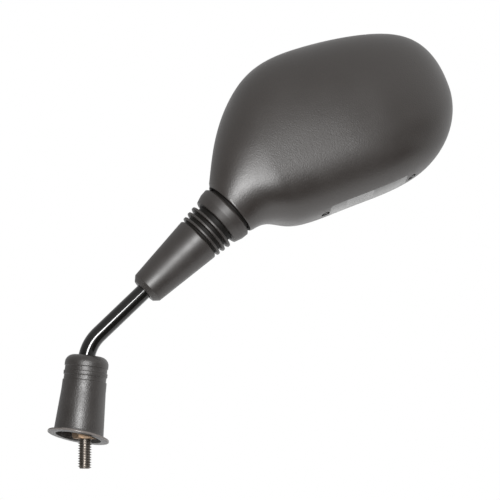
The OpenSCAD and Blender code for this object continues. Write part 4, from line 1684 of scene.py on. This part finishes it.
@dataclass
class Studio:
    """Camera, soft lights, pale floor and white surroundings. Lengths in metres."""

    target: tuple[float, float, float] = (0.098515, 0.0, 0.114615)
    azimuth: float = -5.0
    elevation: float = -8.0
    distance: float = 1.1
    view_width: float = 0.3041
    floor_z: float = -0.25
    room_low: float = 0.17
    room_high: float = 0.76
    backdrop: float = 0.95
    right_share: float = 0.42
    depth_range: tuple[float, float] = (-0.55, 0.35)
    height_range: tuple[float, float] = (0.0, 0.5)
    sensor: float = 36.0
    floor_half: float = 4.0
    card: tuple[float, float, float] = (-1.6, -0.12, 1.2)

    def camera(self) -> None:
        """Places the camera at the photograph's viewing angle."""
        data = bpy.data.cameras.new("photo_camera")
        data.sensor_width = self.sensor
        data.lens = self.sensor * self.distance / self.view_width
        data.clip_end = 20.0
        camera = bpy.data.objects.new("photo_camera", data)
        turn, rise = math.radians(self.azimuth), math.radians(self.elevation)
        back = Vector((math.sin(turn) * math.cos(rise), -math.cos(turn) * math.cos(rise), math.sin(rise)))
        camera.location = Vector(self.target) + back * self.distance
        camera.rotation_euler = back.to_track_quat("Z", "Y").to_euler()
        bpy.context.scene.collection.objects.link(camera)
        bpy.context.scene.camera = camera

    def lamp(self, name: str, place: tuple[float, float, float], size: float, power: float,
             down: bool = False) -> None:
        """Adds a soft square lamp that looks at the object, or one that only lights the floor from above.

        Args:
            name: name of the lamp.
            place: where it stands, from the target.
            size: length of its side.
            power: power in watts.
            down: whether it looks straight down, and shows in no highlight.
        """
        data = bpy.data.lights.new(name, "AREA")
        data.size = size
        data.energy = power
        lamp = bpy.data.objects.new(name, data)
        lamp.visible_glossy = not down
        lamp.location = Vector(self.target) + Vector(place)
        if not down:
            lamp.rotation_euler = Vector(place).to_track_quat("Z", "Y").to_euler()
        bpy.context.scene.collection.objects.link(lamp)

    def floor(self) -> None:
        """Lays a wide pale floor well below the object."""
        half = self.floor_half
        z = self.floor_z / MM
        corners = np.array([(-half, -half), (half, -half), (half, half), (-half, half)]) / MM
        piece = new_piece("pale_floor", np.column_stack([corners, np.full(4, z)]), [(0, 1, 2, 3)])
        PALE_FLOOR.onto(piece)

    def dark_card(self) -> None:
        """Lays a dark card above the floor below the camera, which shows only in the object's gloss."""
        near, far, half = self.card
        corners = np.array([(-half, near), (half, near), (half, far), (-half, far)]) / MM
        piece = new_piece("dark_card", np.column_stack([corners, np.full(4, self.floor_z / MM + 4)]), [(0, 1, 2, 3)])
        DARK_CARD.onto(piece)
        piece.visible_camera = piece.visible_diffuse = piece.visible_shadow = False

    def world(self) -> None:
        """Lights the object from a white backdrop behind it and a dimmer room at the camera's side."""
        world = bpy.data.worlds.new("white_surroundings")
        world.use_nodes = True
        bpy.context.scene.world = world
        tree = world.node_tree
        tree.nodes.clear()
        rays = tree.nodes.new("ShaderNodeLightPath")
        seen = tree.nodes.new("ShaderNodeBackground")
        light = tree.nodes.new("ShaderNodeBackground")
        seen.inputs["Strength"].default_value = 1.0
        seen.inputs["Color"].default_value = (1.0, 1.0, 1.0, 1.0)
        way = tree.nodes.new("ShaderNodeTexCoord")
        split = tree.nodes.new("ShaderNodeSeparateXYZ")
        ramp = tree.nodes.new("ShaderNodeMapRange")
        ramp.interpolation_type = "SMOOTHSTEP"
        ramp.inputs["From Min"].default_value, ramp.inputs["From Max"].default_value = self.depth_range
        ramp.inputs["To Max"].default_value = self.backdrop
        rise = tree.nodes.new("ShaderNodeMapRange")
        rise.interpolation_type = "SMOOTHSTEP"
        rise.inputs["From Min"].default_value, rise.inputs["From Max"].default_value = self.height_range
        rise.inputs["To Min"].default_value = self.room_low
        rise.inputs["To Max"].default_value = self.room_high
        tree.links.new(way.outputs["Generated"], split.inputs[0])
        tree.links.new(split.outputs["Z"], rise.inputs["Value"])
        tree.links.new(rise.outputs["Result"], ramp.inputs["To Min"])
        tree.links.new(split.outputs["Y"], ramp.inputs["Value"])
        sides = tree.nodes.new("ShaderNodeMath")
        sides.operation = "MULTIPLY_ADD"
        sides.inputs[1].default_value = self.right_share
        sides.inputs[2].default_value = 1.0
        tree.links.new(split.outputs["X"], sides.inputs[0])
        uneven = tree.nodes.new("ShaderNodeMath")
        uneven.operation = "MULTIPLY"
        tree.links.new(ramp.outputs["Result"], uneven.inputs[0])
        tree.links.new(sides.outputs["Value"], uneven.inputs[1])
        tree.links.new(uneven.outputs["Value"], light.inputs["Strength"])
        mix = tree.nodes.new("ShaderNodeMixShader")
        out = tree.nodes.new("ShaderNodeOutputWorld")
        tree.links.new(rays.outputs["Is Camera Ray"], mix.inputs[0])
        tree.links.new(light.outputs[0], mix.inputs[1])
        tree.links.new(seen.outputs[0], mix.inputs[2])
        tree.links.new(mix.outputs[0], out.inputs["Surface"])

    def build(self) -> None:
        """Sets the view transform and builds the whole studio."""
        bpy.context.scene.view_settings.view_transform = "Standard"
        self.camera()
        self.floor()
        self.dark_card()
        self.world()
        self.lamp("key_softbox", (-0.13, -0.75, -0.02), 0.22, 5.2)
        self.lamp("floor_wash", (0.1, 1.9, 1.5), 1.0, 45.0, down=True)


def main() -> None:
    """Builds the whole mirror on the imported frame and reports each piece."""
    logging.basicConfig(level=logging.INFO, format="%(name)s: %(message)s")
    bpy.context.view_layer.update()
    leg = Leg()
    form = HeadForm(leg)
    stack = FrontStack(form)
    housing = Housing(form, stack)
    assemblies = [Stem(leg), BaseCover(), Gaiter(leg), housing, Glass(form, housing, stack)]
    for assembly in assemblies:
        for piece in assembly.dress():
            LOG.info("%s: %d faces in %s", type(assembly).__name__, len(piece.data.polygons), piece.name)
    Studio().build()


if __name__ == "__main__":
    main()
